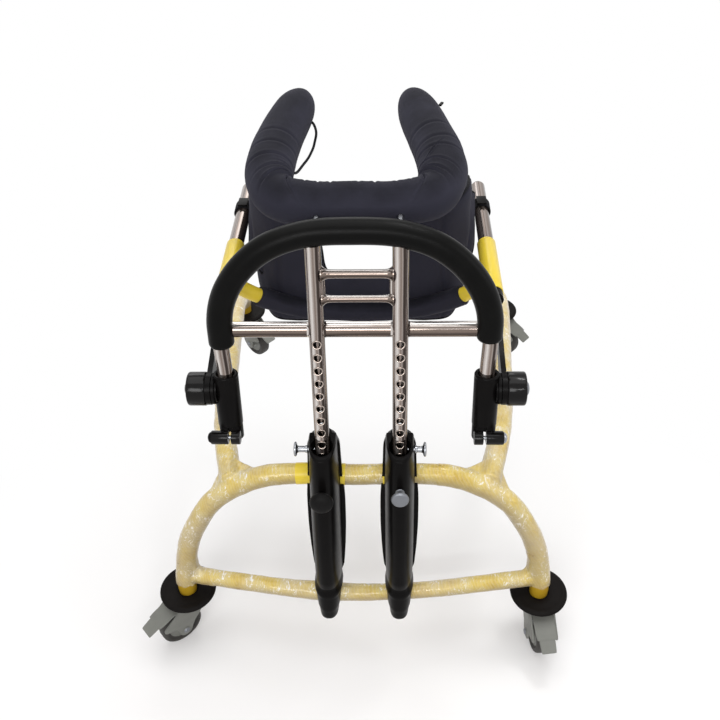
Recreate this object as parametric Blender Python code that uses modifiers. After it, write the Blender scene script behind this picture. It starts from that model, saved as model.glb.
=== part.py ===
"""A gait trainer: a tubular base on four braked casters, a leaning mast that slides in two
housings, a handlebar arch, a padded trunk support and a pelvic frame with a fabric harness.

Metres, +Z up. The walker enters from +Y and travels towards -Y. The origin is the centre of
the base of the overall box. Each piece is its own object, with its origin on its joint's axis.
"""

import math

import bpy
import bmesh
from mathutils import Matrix, Vector
from mathutils.geometry import interpolate_bezier

# Running and seating clearances
GAP = 0.0003
FIT = 0.0003

# Base: the casters turn on the corners of this rectangle
TRACK_HALF = 0.300
WHEELBASE = 0.772

# Casters
WHEEL_RADIUS = 0.0385
WHEEL_WIDTH = 0.024
WHEEL_SIDES = 16
TRAIL = 0.030
AXLE_RADIUS = 0.004
CHEEK_GAP = 0.0364
CHEEK_WALL = 0.0035
WHEEL_TOP_GAP = 0.0175
CROWN_HEIGHT = 0.012
SWIVEL_RADIUS = 0.006
SWIVEL_LENGTH = 0.022
PEDAL_THICKNESS = 0.0035
PEDAL_WIDTH = 0.0350
PEDAL_TIP_WIDTH = 0.0265
PEDAL_LENGTH = 0.056
PEDAL_DROP = 0.0085
PEDAL_SLOPE = 18.0
CASTER_HEADINGS = {
    "front_left": 222.0,
    "front_right": 277.0,
    "rear_right": 318.0,
    "rear_left": 316.0,
}

# Bumper discs with the plugs that close the legs
DISC_RADIUS = 0.048
DISC_THICKNESS = 0.0075
DISC_RECESS = 0.0045
PLUG_HEIGHT = 0.012
PLUG_FIT = 0.0012

# Yellow base tubes
TUBE_RADIUS = 0.0155
TUBE_WALL = 0.002
CROSSBAR_RADIUS = 0.0125
LEAN = 0.2
ARCH_TOP_Z = 0.356
CROSSBAR_Z = 0.1500
CROSSBAR_BOW = 0.038
RAIL_START_X = 0.202
RAIL_REAR_Z = 0.176
BASE_SIDES = 10

# Leaning mast; heights are measured where a piece meets the mast's plane
MAST_FOOT_Y = -0.055
STEM_X = 0.0575
STEMS_CENTRE_X = 0.0055
STEM_RADIUS = 0.011
STEM_BOTTOM = 0.262
STEM_TOP_BELOW_HANDLE = 0.004
HOLE_RADIUS = 0.0052
HOLE_PITCH = 0.0207
HOLES_BELOW_CROSS_TUBE = 0.015
HOLE_COUNT = 14
CROSS_TUBE_RADIUS = 0.011
CROSS_TUBE_BACK = 0.007
CROSS_TUBE_ABOVE_SLEEVE = 0.065
LADDERS_ABOVE_CROSS_TUBE = {"upper": 0.085, "lower": 0.049}
LADDER_RADIUS = 0.006
POST_X = 0.185
POST_RADIUS = 0.011
POST_INTO_SLEEVE = 0.083
SHOULDER_ABOVE_CROSS_TUBE = 0.014
HANDLE_RISE = 0.130
FOAM_RADIUS = 0.018
FOAM_ABOVE_SLEEVE = {"left": 0.043, "right": 0.0515}

# Housings that carry the stems
HOUSING_TOP_ABOVE_ARCH = 0.0935
HOUSING_TIP_BELOW_BAR = 0.036
HOUSING_JOINT_BACK = 0.0156
STEM_BORE_END = 0.186
PIN_BELOW_HOUSING_TOP = 0.0185
PIN_RADIUS = 0.0048
PIN_HEAD_RADIUS = 0.0112
PIN_REACH = {"left": 0.0430, "right": 0.0395}
PIN_SHAFT_RADIUS = 0.0028
PLUNGER_RISE = {"left": 0.3785, "right": 0.386}
PLUNGER_RADIUS = 0.0060
PLUNGER_REACH = {"left": 0.026, "right": 0.020}
PLUNGER_HEAD_RADIUS = {"left": 0.0175, "right": 0.0130}
PLUNGER_HEAD_DEPTH = {"left": 0.016, "right": 0.0055}

# Clamp sleeves, knobs and the tilting pelvic frame
SLEEVE_RADIUS = 0.018
PIVOT_RISE = 0.5355
SLEEVE_ABOVE_PIVOT = 0.0255
SLEEVE_BELOW_PIVOT = 0.081
PIVOT_STUD_RADIUS = 0.005
BOSS_RADIUS = 0.0225
BOSS_FACE_X = 0.2055
ARM_THICKNESS = 0.0075
KNOB_RADIUS = 0.0245
KNOB_LENGTH = 0.0265
KNOB_DOME = 0.006
CLAMP_ABOVE_SLEEVE_FOOT = 0.0085
CLAMP_BACK = -0.0165
CLAMP_BOSS_RADIUS = 0.0092
CLAMP_IN = 0.0155
CLAMP_OUT = 0.0275
CLAMP_SLOT = 0.0034
CLAMP_BOLT_RADIUS = 0.003
SIDE_X = 0.206
SIDE_ABOVE_PIVOT = 0.0495
SIDE_RADIUS = 0.015
SIDE_WALL = 0.0022
SIDE_NEAR_Y = 0.209
SIDE_FAR_Y = 0.343
FRAME_DEPTH = 0.355
ROD_RADIUS = 0.0125
ROD_NEAR_Y = 0.272
ROD_FAR_Y = 0.532
PELVIC_RADIUS = 0.0125

# Soft goods
CUSHION_BELOW_HANDLE = 0.020
CUSHION_ARM_BELOW_HANDLE = 0.033
CUSHION_RADIUS = 0.0355
CUSHION_FRONT_Y = 0.199
CUSHION_HALF = 0.128
CUSHION_END_Y = 0.548
CORE_RADIUS = 0.006
CORD_RADIUS = 0.0022
CASING_WALL = 0.004
CASING_HALF = 0.169
PANEL_THICKNESS = 0.009
SLING_WIDTH = 0.050
SLING_THICKNESS = 0.007
STRAP_Y = 0.452
STRAP_WIDTH = 0.025
STRAP_THICKNESS = 0.0028

YELLOW = (0.80, 0.64, 0.07)
YELLOW_WRAPPED = (0.62, 0.50, 0.19)
CHROME = (0.72, 0.70, 0.68)
BLACK_FOAM = (0.008, 0.008, 0.008)
BLACK_PLASTIC = (0.009, 0.008, 0.008)
BLACK_FABRIC = (0.016, 0.016, 0.021)
CASTER_GREY = (0.19, 0.20, 0.19)
TYRE_GREY = (0.06, 0.055, 0.05)
STEEL = (0.45, 0.46, 0.47)

SIDES = {"left": -1, "right": 1}
STEM_XS = {word: STEMS_CENTRE_X + side * STEM_X for word, side in SIDES.items()}

# Derived heights, from the floor up
AXLE_Z = WHEEL_RADIUS * math.cos(math.pi / WHEEL_SIDES)
CROWN_BOTTOM = AXLE_Z + WHEEL_RADIUS + WHEEL_TOP_GAP
CROWN_TOP = CROWN_BOTTOM + CROWN_HEIGHT
DISC_BOTTOM = CROWN_TOP + GAP
DISC_TOP = DISC_BOTTOM + DISC_THICKNESS
LEG_FOOT = DISC_TOP - DISC_RECESS + GAP
HOUSING_TOP = ARCH_TOP_Z + HOUSING_TOP_ABOVE_ARCH
HOUSING_TIP = CROSSBAR_Z - HOUSING_TIP_BELOW_BAR
PIN_RISE = HOUSING_TOP - PIN_BELOW_HOUSING_TOP
SLEEVE_TOP = PIVOT_RISE + SLEEVE_ABOVE_PIVOT
SLEEVE_BOTTOM = PIVOT_RISE - SLEEVE_BELOW_PIVOT
CLAMP_RISE = SLEEVE_BOTTOM + CLAMP_ABOVE_SLEEVE_FOOT
POST_BOTTOM = SLEEVE_TOP - POST_INTO_SLEEVE
CROSS_TUBE_RISE = SLEEVE_TOP + CROSS_TUBE_ABOVE_SLEEVE
HOLE_FIRST = CROSS_TUBE_RISE - HOLES_BELOW_CROSS_TUBE
HANDLE_SHOULDER = CROSS_TUBE_RISE + SHOULDER_ABOVE_CROSS_TUBE
HANDLE_TOP = HANDLE_SHOULDER + HANDLE_RISE
STEM_TOP = HANDLE_TOP - STEM_TOP_BELOW_HANDLE
CUSHION_Z = HANDLE_TOP - CUSHION_BELOW_HANDLE
SIDE_Z = PIVOT_RISE + SIDE_ABOVE_PIVOT
LEAN_ANGLE = math.atan(LEAN)
LEAN_UP = Vector((0.0, math.sin(LEAN_ANGLE), math.cos(LEAN_ANGLE)))
LEAN_BACK = Vector((0.0, math.cos(LEAN_ANGLE), -math.sin(LEAN_ANGLE)))


def clear_scene():
    for item in list(bpy.data.objects):
        bpy.data.objects.remove(item)


def new_collection(name):
    collection = bpy.data.collections.new(name)
    bpy.context.scene.collection.children.link(collection)
    return collection


def material(name, colour, roughness, metallic=0.0):
    made = bpy.data.materials.new(name)
    made.use_nodes = True
    shader = made.node_tree.nodes["Principled BSDF"]
    shader.inputs["Base Color"].default_value = (*colour, 1.0)
    shader.inputs["Roughness"].default_value = roughness
    shader.inputs["Metallic"].default_value = metallic
    return made


def mix(a, b, share):
    return a + (b - a) * share


def mast_point(x, rise, back=0.0):
    """The point at this height on the mast's leaning plane, moved back along its normal."""
    return Vector((x, MAST_FOOT_Y + LEAN * rise, rise)) + LEAN_BACK * back


def smooth(points, steps):
    """Points of a smooth curve through the given points, with this many steps to a span."""
    points = [Vector(point) for point in points]
    spans = [(b - a).length for a, b in zip(points, points[1:])]
    slopes = [(points[1] - points[0]) / spans[0]]
    for i in range(1, len(points) - 1):
        ahead = (points[i + 1] - points[i]) / spans[i]
        behind = (points[i] - points[i - 1]) / spans[i - 1]
        slopes.append((ahead * spans[i - 1] + behind * spans[i]) / (spans[i - 1] + spans[i]))
    slopes.append((points[-1] - points[-2]) / spans[-1])
    curve = [points[0]]
    for i, span in enumerate(spans):
        leave = points[i] + slopes[i] * span / 3
        arrive = points[i + 1] - slopes[i + 1] * span / 3
        curve += interpolate_bezier(points[i], leave, arrive, points[i + 1], steps + 1)[1:]
    return curve


def mirrored(half):
    """A path from its left end to its right end, from the right half that starts at x = 0."""
    left = [Vector((-point[0], point[1], point[2])) for point in reversed(half)]
    return left[:-1] + [Vector(point) for point in half]


class Builder:
    """Makes the objects: nodes go in one collection, cutters in another."""

    def __init__(self):
        self.nodes = new_collection("gait_trainer")
        self.cutters = new_collection("cutters")
        self.base = bpy.data.objects.new("base_origin", None)
        self.nodes.objects.link(self.base)
        self.materials = {}

    def add(self, name, data, look):
        made = bpy.data.objects.new(name, data)
        if look is None:
            self.cutters.objects.link(made)
            made.hide_render = True
            made.display_type = "WIRE"
        else:
            self.nodes.objects.link(made)
            data.materials.append(self.materials[look])
        made.parent = self.base
        return made

    def mesh(self, name, bm, look):
        bmesh.ops.recalc_face_normals(bm, faces=bm.faces)
        data = bpy.data.meshes.new(name)
        bm.to_mesh(data)
        bm.free()
        data.shade_smooth()
        data.set_sharp_from_angle(angle=math.radians(35))
        return self.add(name, data, look)

    def tube(self, name, points, radius, look, sides=BASE_SIDES, wall=None):
        """A round tube along the points, open at both ends where it has a wall."""
        curve = bpy.data.curves.new(name, "CURVE")
        curve.dimensions = "3D"
        curve.bevel_depth = radius
        curve.bevel_resolution = (sides - 4) // 2
        curve.use_fill_caps = wall is None
        spline = curve.splines.new("POLY")
        spline.points.add(len(points) - 1)
        for target, point in zip(spline.points, points):
            target.co = (*point, 1.0)
        drawn = bpy.data.objects.new(name, curve)
        self.cutters.objects.link(drawn)
        bpy.context.view_layer.update()
        graph = bpy.context.evaluated_depsgraph_get()
        data = bpy.data.meshes.new_from_object(drawn.evaluated_get(graph))
        bpy.data.objects.remove(drawn)
        data.materials.clear()
        bm = bmesh.new()
        bm.from_mesh(data)
        bpy.data.meshes.remove(data)
        bmesh.ops.remove_doubles(bm, verts=bm.verts, dist=1e-6)
        made = self.mesh(name, bm, look)
        if wall is not None:
            shell = made.modifiers.new("wall", "SOLIDIFY")
            shell.thickness = wall
            shell.offset = -1.0
            shell.use_even_offset = True
        return made

    def turned(self, name, profile, at, axis, look, steps=16, closed=False):
        """A turned piece. The profile is (radius, height) pairs down its outer side."""
        data = bpy.data.meshes.new(name)
        edges = [(i, i + 1) for i in range(len(profile) - 1)]
        if closed:
            edges.append((len(profile) - 1, 0))
        data.from_pydata([(radius, 0.0, height) for radius, height in profile], edges, [])
        made = self.add(name, data, look)
        made.location = at
        made.rotation_mode = "QUATERNION"
        made.rotation_quaternion = frame_along(at, axis).to_quaternion()
        screw = made.modifiers.new("turn", "SCREW")
        screw.steps = screw.render_steps = steps
        screw.use_merge_vertices = True
        screw.merge_threshold = 0.00001
        screw.use_smooth_shade = True
        return made

    def box(self, name, low, high, look=None, turn=None):
        bm = bmesh.new()
        bmesh.ops.create_cube(bm, size=1.0)
        low, high = Vector(low), Vector(high)
        bmesh.ops.scale(bm, vec=high - low, verts=bm.verts)
        bmesh.ops.translate(bm, vec=(low + high) / 2, verts=bm.verts)
        if turn is not None:
            bmesh.ops.transform(bm, matrix=turn, verts=bm.verts)
        return self.mesh(name, bm, look)

    def plate(self, name, outline, thickness, matrix, look=None):
        """A flat plate: the outline in its own XY plane, half the thickness to each side."""
        bm = bmesh.new()
        rim = [bm.verts.new((x, y, -thickness / 2)) for x, y in outline]
        face = bm.faces.new(rim)
        grown = bmesh.ops.extrude_face_region(bm, geom=[face])["geom"]
        moved = [item for item in grown if isinstance(item, bmesh.types.BMVert)]
        bmesh.ops.translate(bm, vec=(0.0, 0.0, thickness), verts=moved)
        bmesh.ops.transform(bm, matrix=matrix, verts=bm.verts)
        return self.mesh(name, bm, look)

    def loft(self, name, rings, look=None):
        """A closed skin over rings of equally many points, capped at both ends."""
        bm = bmesh.new()
        rows = [[bm.verts.new(point) for point in ring] for ring in rings]
        count = len(rows[0])
        for row, after in zip(rows, rows[1:]):
            for i in range(count):
                j = (i + 1) % count
                bm.faces.new((row[i], row[j], after[j], after[i]))
        bm.faces.new(list(reversed(rows[0])))
        bm.faces.new(rows[-1])
        return self.mesh(name, bm, look)

    def boolean(self, target, other, operation="DIFFERENCE"):
        modifier = target.modifiers.new(other.name, "BOOLEAN")
        modifier.operation = operation
        modifier.object = other
        modifier.solver = "EXACT"


def place_origin(made, point):
    """Moves a mesh object's origin to the point, which lies on its joint's axis."""
    made.data.transform(Matrix.Translation(-Vector(point)))
    made.location = point


def frame_along(at, axis):
    """A frame at the point with Z along the axis and X as near world X as it can be."""
    along = Vector(axis).normalized()
    side = Vector((0.0, 0.0, 1.0)) if abs(along.x) > 0.9 else Vector((1.0, 0.0, 0.0))
    side = (side - along * side.dot(along)).normalized()
    frame = Matrix((side, along.cross(side), along)).transposed().to_4x4()
    frame.translation = at
    return frame


def add_bar(bm, start, end, radius, sides):
    """Adds a round bar with flat ends, a facet of it facing along its frame's X."""
    start, end = Vector(start), Vector(end)
    frame = frame_along((start + end) / 2, end - start)
    bmesh.ops.create_cone(
        bm, cap_ends=True, cap_tris=False, segments=sides, radius1=radius, radius2=radius,
        depth=(end - start).length, matrix=frame @ Matrix.Rotation(math.pi / sides, 4, "Z"),
    )


def bar(build, name, start, end, radius, look=None, sides=12):
    bm = bmesh.new()
    add_bar(bm, start, end, radius, sides)
    return build.mesh(name, bm, look)


def arch_path():
    """Centreline of the front arch, from the left foot over the top to the right foot."""
    shape = (
        (0.0, 0.992), (0.303, 1.0), (0.487, 0.980), (0.643, 0.905), (0.787, 0.777),
        (0.877, 0.620), (0.950, 0.430), (0.985, 0.240), (1.0, 0.060), (1.0, 0.0),
    )
    half = []
    for across, up in shape:
        z = mix(LEG_FOOT, ARCH_TOP_Z, up)
        y = LEAN * (z - DISC_TOP) if up > 0.1 else 0.0
        half.append((TRACK_HALF * across, y, z))
    return smooth(mirrored(half), 1)


def crossbar_path():
    foot_y = LEAN * (CROSSBAR_Z - DISC_TOP)
    half = [
        (0.0, foot_y - CROSSBAR_BOW, CROSSBAR_Z),
        (TRACK_HALF / 3, foot_y - CROSSBAR_BOW * 0.86, CROSSBAR_Z),
        (TRACK_HALF * 0.7, foot_y - CROSSBAR_BOW * 0.42, CROSSBAR_Z - 0.003),
        (TRACK_HALF - 0.004, foot_y, CROSSBAR_Z - 0.007),
    ]
    return smooth(mirrored(half), 1)


def rail_path(side):
    """Centreline of a side rail, from the arch's shoulder back and down to its caster."""
    start_z = ARCH_TOP_Z - 0.016
    start_y = LEAN * (start_z - DISC_TOP)
    shape = (
        (0.0, 0.0, 1.0), (0.24, 0.12, 0.93), (0.46, 0.28, 0.76), (0.68, 0.52, 0.47),
        (0.88, 0.76, 0.20), (0.97, 0.90, 0.06),
    )
    points = []
    for out, back, up in shape:
        x = mix(RAIL_START_X, TRACK_HALF, out)
        y = mix(start_y, WHEELBASE, back)
        points.append((side * x, y, mix(RAIL_REAR_Z, start_z, up)))
    points.append((side * TRACK_HALF, WHEELBASE - 0.012, RAIL_REAR_Z - 0.022))
    points.append((side * TRACK_HALF, WHEELBASE, mix(LEG_FOOT, RAIL_REAR_Z, 0.34)))
    points.append((side * TRACK_HALF, WHEELBASE, mix(LEG_FOOT, RAIL_REAR_Z, 0.16)))
    points.append((side * TRACK_HALF, WHEELBASE, LEG_FOOT))
    curve = smooth(points, 2)
    return curve[:-4] + curve[-1:]


def base_frame(build):
    arch = build.tube("front_arch", arch_path(), TUBE_RADIUS, "yellow", wall=TUBE_WALL)
    around_arch = build.tube("cut_arch", arch_path(), TUBE_RADIUS + GAP, None)
    crossbar = build.tube(
        "lower_crossbar", crossbar_path(), CROSSBAR_RADIUS, "yellow", wall=TUBE_WALL
    )
    build.boolean(crossbar, around_arch)
    for word, side in SIDES.items():
        rail = build.tube(
            "side_rail_" + word, rail_path(side), TUBE_RADIUS, "yellow", wall=TUBE_WALL
        )
        build.boolean(rail, around_arch)
    return around_arch


def bumper(build, name, at):
    inner = TUBE_RADIUS - TUBE_WALL - PLUG_FIT
    bore = SWIVEL_RADIUS + FIT
    floor = LEG_FOOT - GAP
    recess = TUBE_RADIUS + 0.0015
    edge = 0.002
    profile = [
        (inner, DISC_TOP + PLUG_HEIGHT),
        (inner, floor),
        (recess, floor),
        (recess, DISC_TOP),
        (DISC_RADIUS - edge, DISC_TOP),
        (DISC_RADIUS, DISC_TOP - edge),
        (DISC_RADIUS, DISC_BOTTOM + edge),
        (DISC_RADIUS - edge, DISC_BOTTOM),
        (bore, DISC_BOTTOM),
        (bore, DISC_TOP + PLUG_HEIGHT),
    ]
    return build.turned("bumper_" + name, profile, (*at, 0.0), (0, 0, 1), "plastic",
                        steps=16, closed=True)


def fork(build, name, at, heading, lateral):
    """A sheet-steel fork: its side outline, less the slot that the wheel runs in."""
    half = CHEEK_GAP / 2 + CHEEK_WALL
    outline = [
        (-0.021, CROWN_TOP), (-0.021, CROWN_BOTTOM - 0.004), (TRAIL - 0.017, AXLE_Z + 0.002),
        (TRAIL - 0.010, AXLE_Z - 0.011), (TRAIL + 0.006, AXLE_Z - 0.015),
        (TRAIL + 0.019, AXLE_Z - 0.011), (TRAIL + 0.024, AXLE_Z + 0.002),
        (TRAIL + 0.018, AXLE_Z + 0.016), (TRAIL + 0.035, AXLE_Z + 0.024),
        (TRAIL + 0.037, AXLE_Z + 0.032), (TRAIL + 0.012, CROWN_BOTTOM - 0.006),
        (0.022, CROWN_TOP),
    ]
    frame = Matrix((heading, Vector((0, 0, 1)), lateral)).transposed().to_4x4()
    frame.translation = (*at, 0.0)
    made = build.plate("caster_fork_" + name, outline, 2 * half, frame, "caster_grey")
    low = (-0.030, -0.010, -CHEEK_GAP / 2)
    high = (TRAIL + WHEEL_RADIUS + 0.010, CROWN_BOTTOM, CHEEK_GAP / 2)
    slot = build.box("cut_slot_" + name, low, high, turn=frame)
    stem = bar(build, "join_swivel_" + name, (*at, CROWN_TOP - 0.004),
               (*at, CROWN_TOP + SWIVEL_LENGTH), SWIVEL_RADIUS, sides=10)
    centre = Vector((*at, AXLE_Z)) + heading * TRAIL
    bore = bar(build, "cut_axle_" + name, centre - lateral * 0.04, centre + lateral * 0.04,
               AXLE_RADIUS + FIT, sides=10)
    build.boolean(made, slot)
    build.boolean(made, bore)
    build.boolean(made, stem, "UNION")
    place_origin(made, (*at, CROWN_TOP))


def wheel(build, name, centre, lateral):
    half = WHEEL_WIDTH / 2
    hub = CHEEK_GAP / 2 - GAP
    bore = AXLE_RADIUS + FIT
    rim = WHEEL_RADIUS - 0.010
    profile = [
        (bore, hub), (0.0085, hub), (0.0115, half - 0.004),
        (rim - 0.002, half - 0.004), (rim, half), (WHEEL_RADIUS, half - 0.0035),
    ]
    profile += [(radius, -height) for radius, height in reversed(profile)]
    made = build.turned("wheel_" + name, profile, centre, lateral, "tyre",
                        steps=WHEEL_SIDES, closed=True)
    # A flat of the tread faces the floor, so the wheel is turned by its place on the axle.
    down = made.rotation_quaternion.inverted() @ Vector((0, 0, -1))
    to_flat = math.atan2(down.y, down.x) + math.pi / WHEEL_SIDES
    made.data.transform(Matrix.Rotation(to_flat, 4, "Z"))
    return made


def axle(build, name, centre, lateral):
    half = CHEEK_GAP / 2 + CHEEK_WALL + GAP
    profile = [
        (0.0, half + 0.0032), (0.0045, half + 0.0026), (0.0065, half), (AXLE_RADIUS, half),
    ]
    profile += [(radius, -height) for radius, height in reversed(profile)]
    build.turned("axle_bolt_" + name, profile, centre, lateral, "steel", steps=8)


def pedal(build, name, at, heading, lateral):
    """The brake pedal, a bent plate over the fork that narrows towards its tip."""
    slope = math.radians(PEDAL_SLOPE)
    along = heading * math.cos(slope) - Vector((0, 0, 1)) * math.sin(slope)
    up = lateral.cross(along)
    if up.z < 0:
        up = -up
    pivot = Vector((*at, CROWN_BOTTOM - PEDAL_DROP)) + heading * (TRAIL + 0.009)
    rings = []
    tip = PEDAL_TIP_WIDTH / PEDAL_WIDTH
    rows = (
        (-0.004, -0.001, 1.0), (0.004, 0.0005, 1.0), (PEDAL_LENGTH * 0.50, 0.0, 1.0),
        (PEDAL_LENGTH * 0.60, -0.0005, tip), (PEDAL_LENGTH - 0.003, -0.0030, tip * 0.95),
        (PEDAL_LENGTH, -0.0038, tip * 0.80),
    )
    for reach, lift, width in rows:
        half = PEDAL_WIDTH / 2 * width
        middle = pivot + along * reach + up * (lift + PEDAL_THICKNESS)
        rings.append([
            middle + lateral * x * half + up * y * PEDAL_THICKNESS / 2
            for x, y in ((-1, -1), (1, -1), (1, 0.4), (0.86, 1), (-0.86, 1), (-1, 0.4))
        ])
    made = build.loft("brake_pedal_" + name, rings, "caster_grey")
    place_origin(made, pivot)


def casters(build):
    corners = {
        "front_left": (-TRACK_HALF, 0.0),
        "front_right": (TRACK_HALF, 0.0),
        "rear_right": (TRACK_HALF, WHEELBASE),
        "rear_left": (-TRACK_HALF, WHEELBASE),
    }
    for name, at in corners.items():
        angle = math.radians(CASTER_HEADINGS[name])
        heading = Vector((math.cos(angle), math.sin(angle), 0.0))
        lateral = heading.cross(Vector((0, 0, 1)))
        centre = Vector((*at, AXLE_Z)) + heading * TRAIL
        bumper(build, name, at)
        fork(build, name, at, heading, lateral)
        wheel(build, name, centre, lateral)
        axle(build, name, centre, lateral)
        pedal(build, name, at, heading, lateral)


def d_ring(x, rise, flat, bulge, half, count=9, power=0.8):
    """A D-shaped section across the mast: flat at one depth, bulging by another."""
    ring = []
    for i in range(count):
        angle = math.pi * i / (count - 1)
        across = math.copysign(abs(math.cos(angle)) ** power, math.cos(angle))
        depth = math.sin(angle) ** power
        ring.append(mast_point(x + half * across, rise, flat + bulge * depth))
    return ring


def housings(build, around_arch):
    """Each stem's housing: a front cover and a back shell that close round the arch."""
    around_bar = build.tube("cut_crossbar", crossbar_path(), CROSSBAR_RADIUS + GAP, None)
    joint = HOUSING_JOINT_BACK
    cover_rows = (
        (0.00, -0.020, -0.014, 0.0095), (0.03, -0.012, -0.0275, 0.0150),
        (0.09, -0.005, -0.038, 0.0190), (0.17, -0.004, -0.040, 0.0212),
        (0.235, joint, -0.060, 0.0218), (0.45, joint, -0.0615, 0.0226),
        (0.65, joint, -0.0600, 0.0228), (0.82, joint, -0.0570, 0.0224),
        (0.93, joint, -0.0545, 0.0216), (1.00, joint, -0.0525, 0.0206),
    )
    back_rows = (
        (0.19, 0.010, 0.0200), (0.235, 0.019, 0.0248), (0.36, 0.030, 0.0282),
        (0.52, 0.037, 0.0300), (0.66, 0.040, 0.0296), (0.73, 0.041, 0.0280),
        (0.85, 0.034, 0.0258), (0.94, 0.026, 0.0245), (0.98, 0.020, 0.0195),
        (1.00, 0.014, 0.0130),
    )
    for word, x in STEM_XS.items():
        bore = bar(build, "cut_stem_bore_" + word, mast_point(x, STEM_BORE_END),
                   mast_point(x, HOUSING_TOP + 0.05), STEM_RADIUS + FIT, sides=16)
        cup = bar(build, "cut_cup_" + word, mast_point(x, HOUSING_TOP - 0.014, -0.012),
                  mast_point(x, HOUSING_TOP + 0.02, -0.012), 0.0155, sides=16)
        rings = []
        for up, flat, bulge, half in cover_rows:
            rings.append(d_ring(x, mix(HOUSING_TIP, HOUSING_TOP, up), flat, bulge, half))
        cover = build.loft("housing_cover_" + word, rings, "plastic")
        rings = []
        for up, bulge, half in back_rows:
            rise = mix(HOUSING_TIP, HOUSING_TOP, up)
            rings.append(d_ring(x, rise, joint + 2 * GAP, bulge, half))
        back = build.loft("housing_back_" + word, rings, "plastic")
        pin_way = bar(build, "cut_pin_" + word, mast_point(x, PIN_RISE),
                      mast_point(x + SIDES[word] * 0.06, PIN_RISE), PIN_SHAFT_RADIUS + FIT, sides=8)
        rise = PLUNGER_RISE[word]
        plunger_way = bar(build, "cut_plunger_" + word, mast_point(x, rise),
                          mast_point(x, rise, -0.09), PIN_SHAFT_RADIUS + FIT, sides=8)
        for cutter in (bore, cup, around_bar, pin_way, plunger_way):
            build.boolean(cover, cutter)
        build.boolean(back, around_arch)


def pins(build):
    """The sprung pull pins at the housings' sides and the plungers on their fronts."""
    for word, side in SIDES.items():
        x = STEM_XS[word]
        out = PIN_REACH[word]
        tip = STEM_RADIUS + 2 * FIT
        seat = 0.0222 + GAP
        profile = [
            (0.0, out), (0.006, out), (PIN_HEAD_RADIUS, out - 0.0015),
            (PIN_HEAD_RADIUS, out - 0.004), (PIN_RADIUS, out - 0.0055),
            (PIN_RADIUS, seat), (PIN_SHAFT_RADIUS, seat), (PIN_SHAFT_RADIUS, tip), (0.0, tip),
        ]
        build.turned("side_pin_" + word, profile, mast_point(x, PIN_RISE), (side, 0, 0),
                     "steel", steps=12)
        face = HOUSING_JOINT_BACK - 0.0600
        reach = -face + PLUNGER_REACH[word]
        head = PLUNGER_HEAD_RADIUS[word]
        depth = PLUNGER_HEAD_DEPTH[word]
        neck = reach - depth
        seat = -face + 0.0010
        profile = [
            (0.0, reach), (0.55 * head, reach - 0.06 * depth), (0.9 * head, reach - 0.35 * depth),
            (head, reach - 0.65 * depth), (0.9 * head, reach - depth),
            (PLUNGER_RADIUS, neck), (PLUNGER_RADIUS, seat), (PIN_SHAFT_RADIUS, seat),
            (PIN_SHAFT_RADIUS, tip), (0.0, tip),
        ]
        look = "foam" if word == "left" else "steel"
        build.turned("front_plunger_" + word, profile, mast_point(x, PLUNGER_RISE[word]),
                     -LEAN_BACK, look, steps=14)


def handle_path(ends):
    """Centreline of the handlebar arch, down to these heights on its left and right post."""
    shape = ((0.0, 1.0), (0.35, 0.965), (0.622, 0.824), (0.833, 0.565), (0.962, 0.25), (1.0, 0.0))
    half = []
    for across, up in shape:
        rise = mix(HANDLE_SHOULDER, HANDLE_TOP, up)
        half.append(mast_point(POST_X * across, rise))
    path = mirrored(half)
    for word, side in SIDES.items():
        leg = [
            mast_point(side * POST_X, mix(HANDLE_SHOULDER, ends[word], 0.5)),
            mast_point(side * POST_X, ends[word]),
        ]
        path = leg[::-1] + path if side < 0 else path + leg
    return smooth(path, 1)


def mast(build):
    """The chrome mast: handlebar arch and posts, stems with their holes, and the bars."""
    path = handle_path({"left": POST_BOTTOM, "right": POST_BOTTOM})
    handle = build.tube("handlebar_tube", path, POST_RADIUS, "chrome", wall=0.0016)
    around_handle = build.tube("cut_handle", path, POST_RADIUS + GAP, None)
    cross_ends = [mast_point(side * POST_X, CROSS_TUBE_RISE, CROSS_TUBE_BACK) for side in (-1, 1)]
    cross = bar(build, "cross_tube", *cross_ends, CROSS_TUBE_RADIUS, "chrome")
    around_cross = bar(build, "cut_cross", *cross_ends, CROSS_TUBE_RADIUS + GAP)
    ends = {word: SLEEVE_TOP + above for word, above in FOAM_ABOVE_SLEEVE.items()}
    foam = build.tube("foam_grip", handle_path(ends), FOAM_RADIUS, "foam", sides=12)
    build.boolean(foam, around_handle)
    build.boolean(cross, around_handle)
    build.boolean(foam, around_cross)
    around_stems = []
    for word, x in STEM_XS.items():
        ends = mast_point(x, STEM_BOTTOM), mast_point(x, STEM_TOP)
        stem = bar(build, "stem_" + word, *ends, STEM_RADIUS, "chrome")
        around = bar(build, "cut_stem_" + word, *ends, STEM_RADIUS + GAP)
        around_stems.append(around)
        build.boolean(stem, around_handle)
        holes = bmesh.new()
        for i in range(HOLE_COUNT):
            rise = HOLE_FIRST - i * HOLE_PITCH
            front, back = mast_point(x, rise, -0.03), mast_point(x, rise, 0.03)
            add_bar(holes, front, back, HOLE_RADIUS, 8)
        build.boolean(stem, build.mesh("cut_holes_" + word, holes, None))
        build.boolean(cross, around)
        build.boolean(foam, around)
    for word, above in LADDERS_ABOVE_CROSS_TUBE.items():
        rise = CROSS_TUBE_RISE + above
        ends = [mast_point(x, rise) for x in STEM_XS.values()]
        rung = bar(build, "ladder_bar_" + word, *ends, LADDER_RADIUS, "chrome", sides=10)
        for around in around_stems:
            build.boolean(rung, around)
    return around_handle, around_stems, handle


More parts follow.
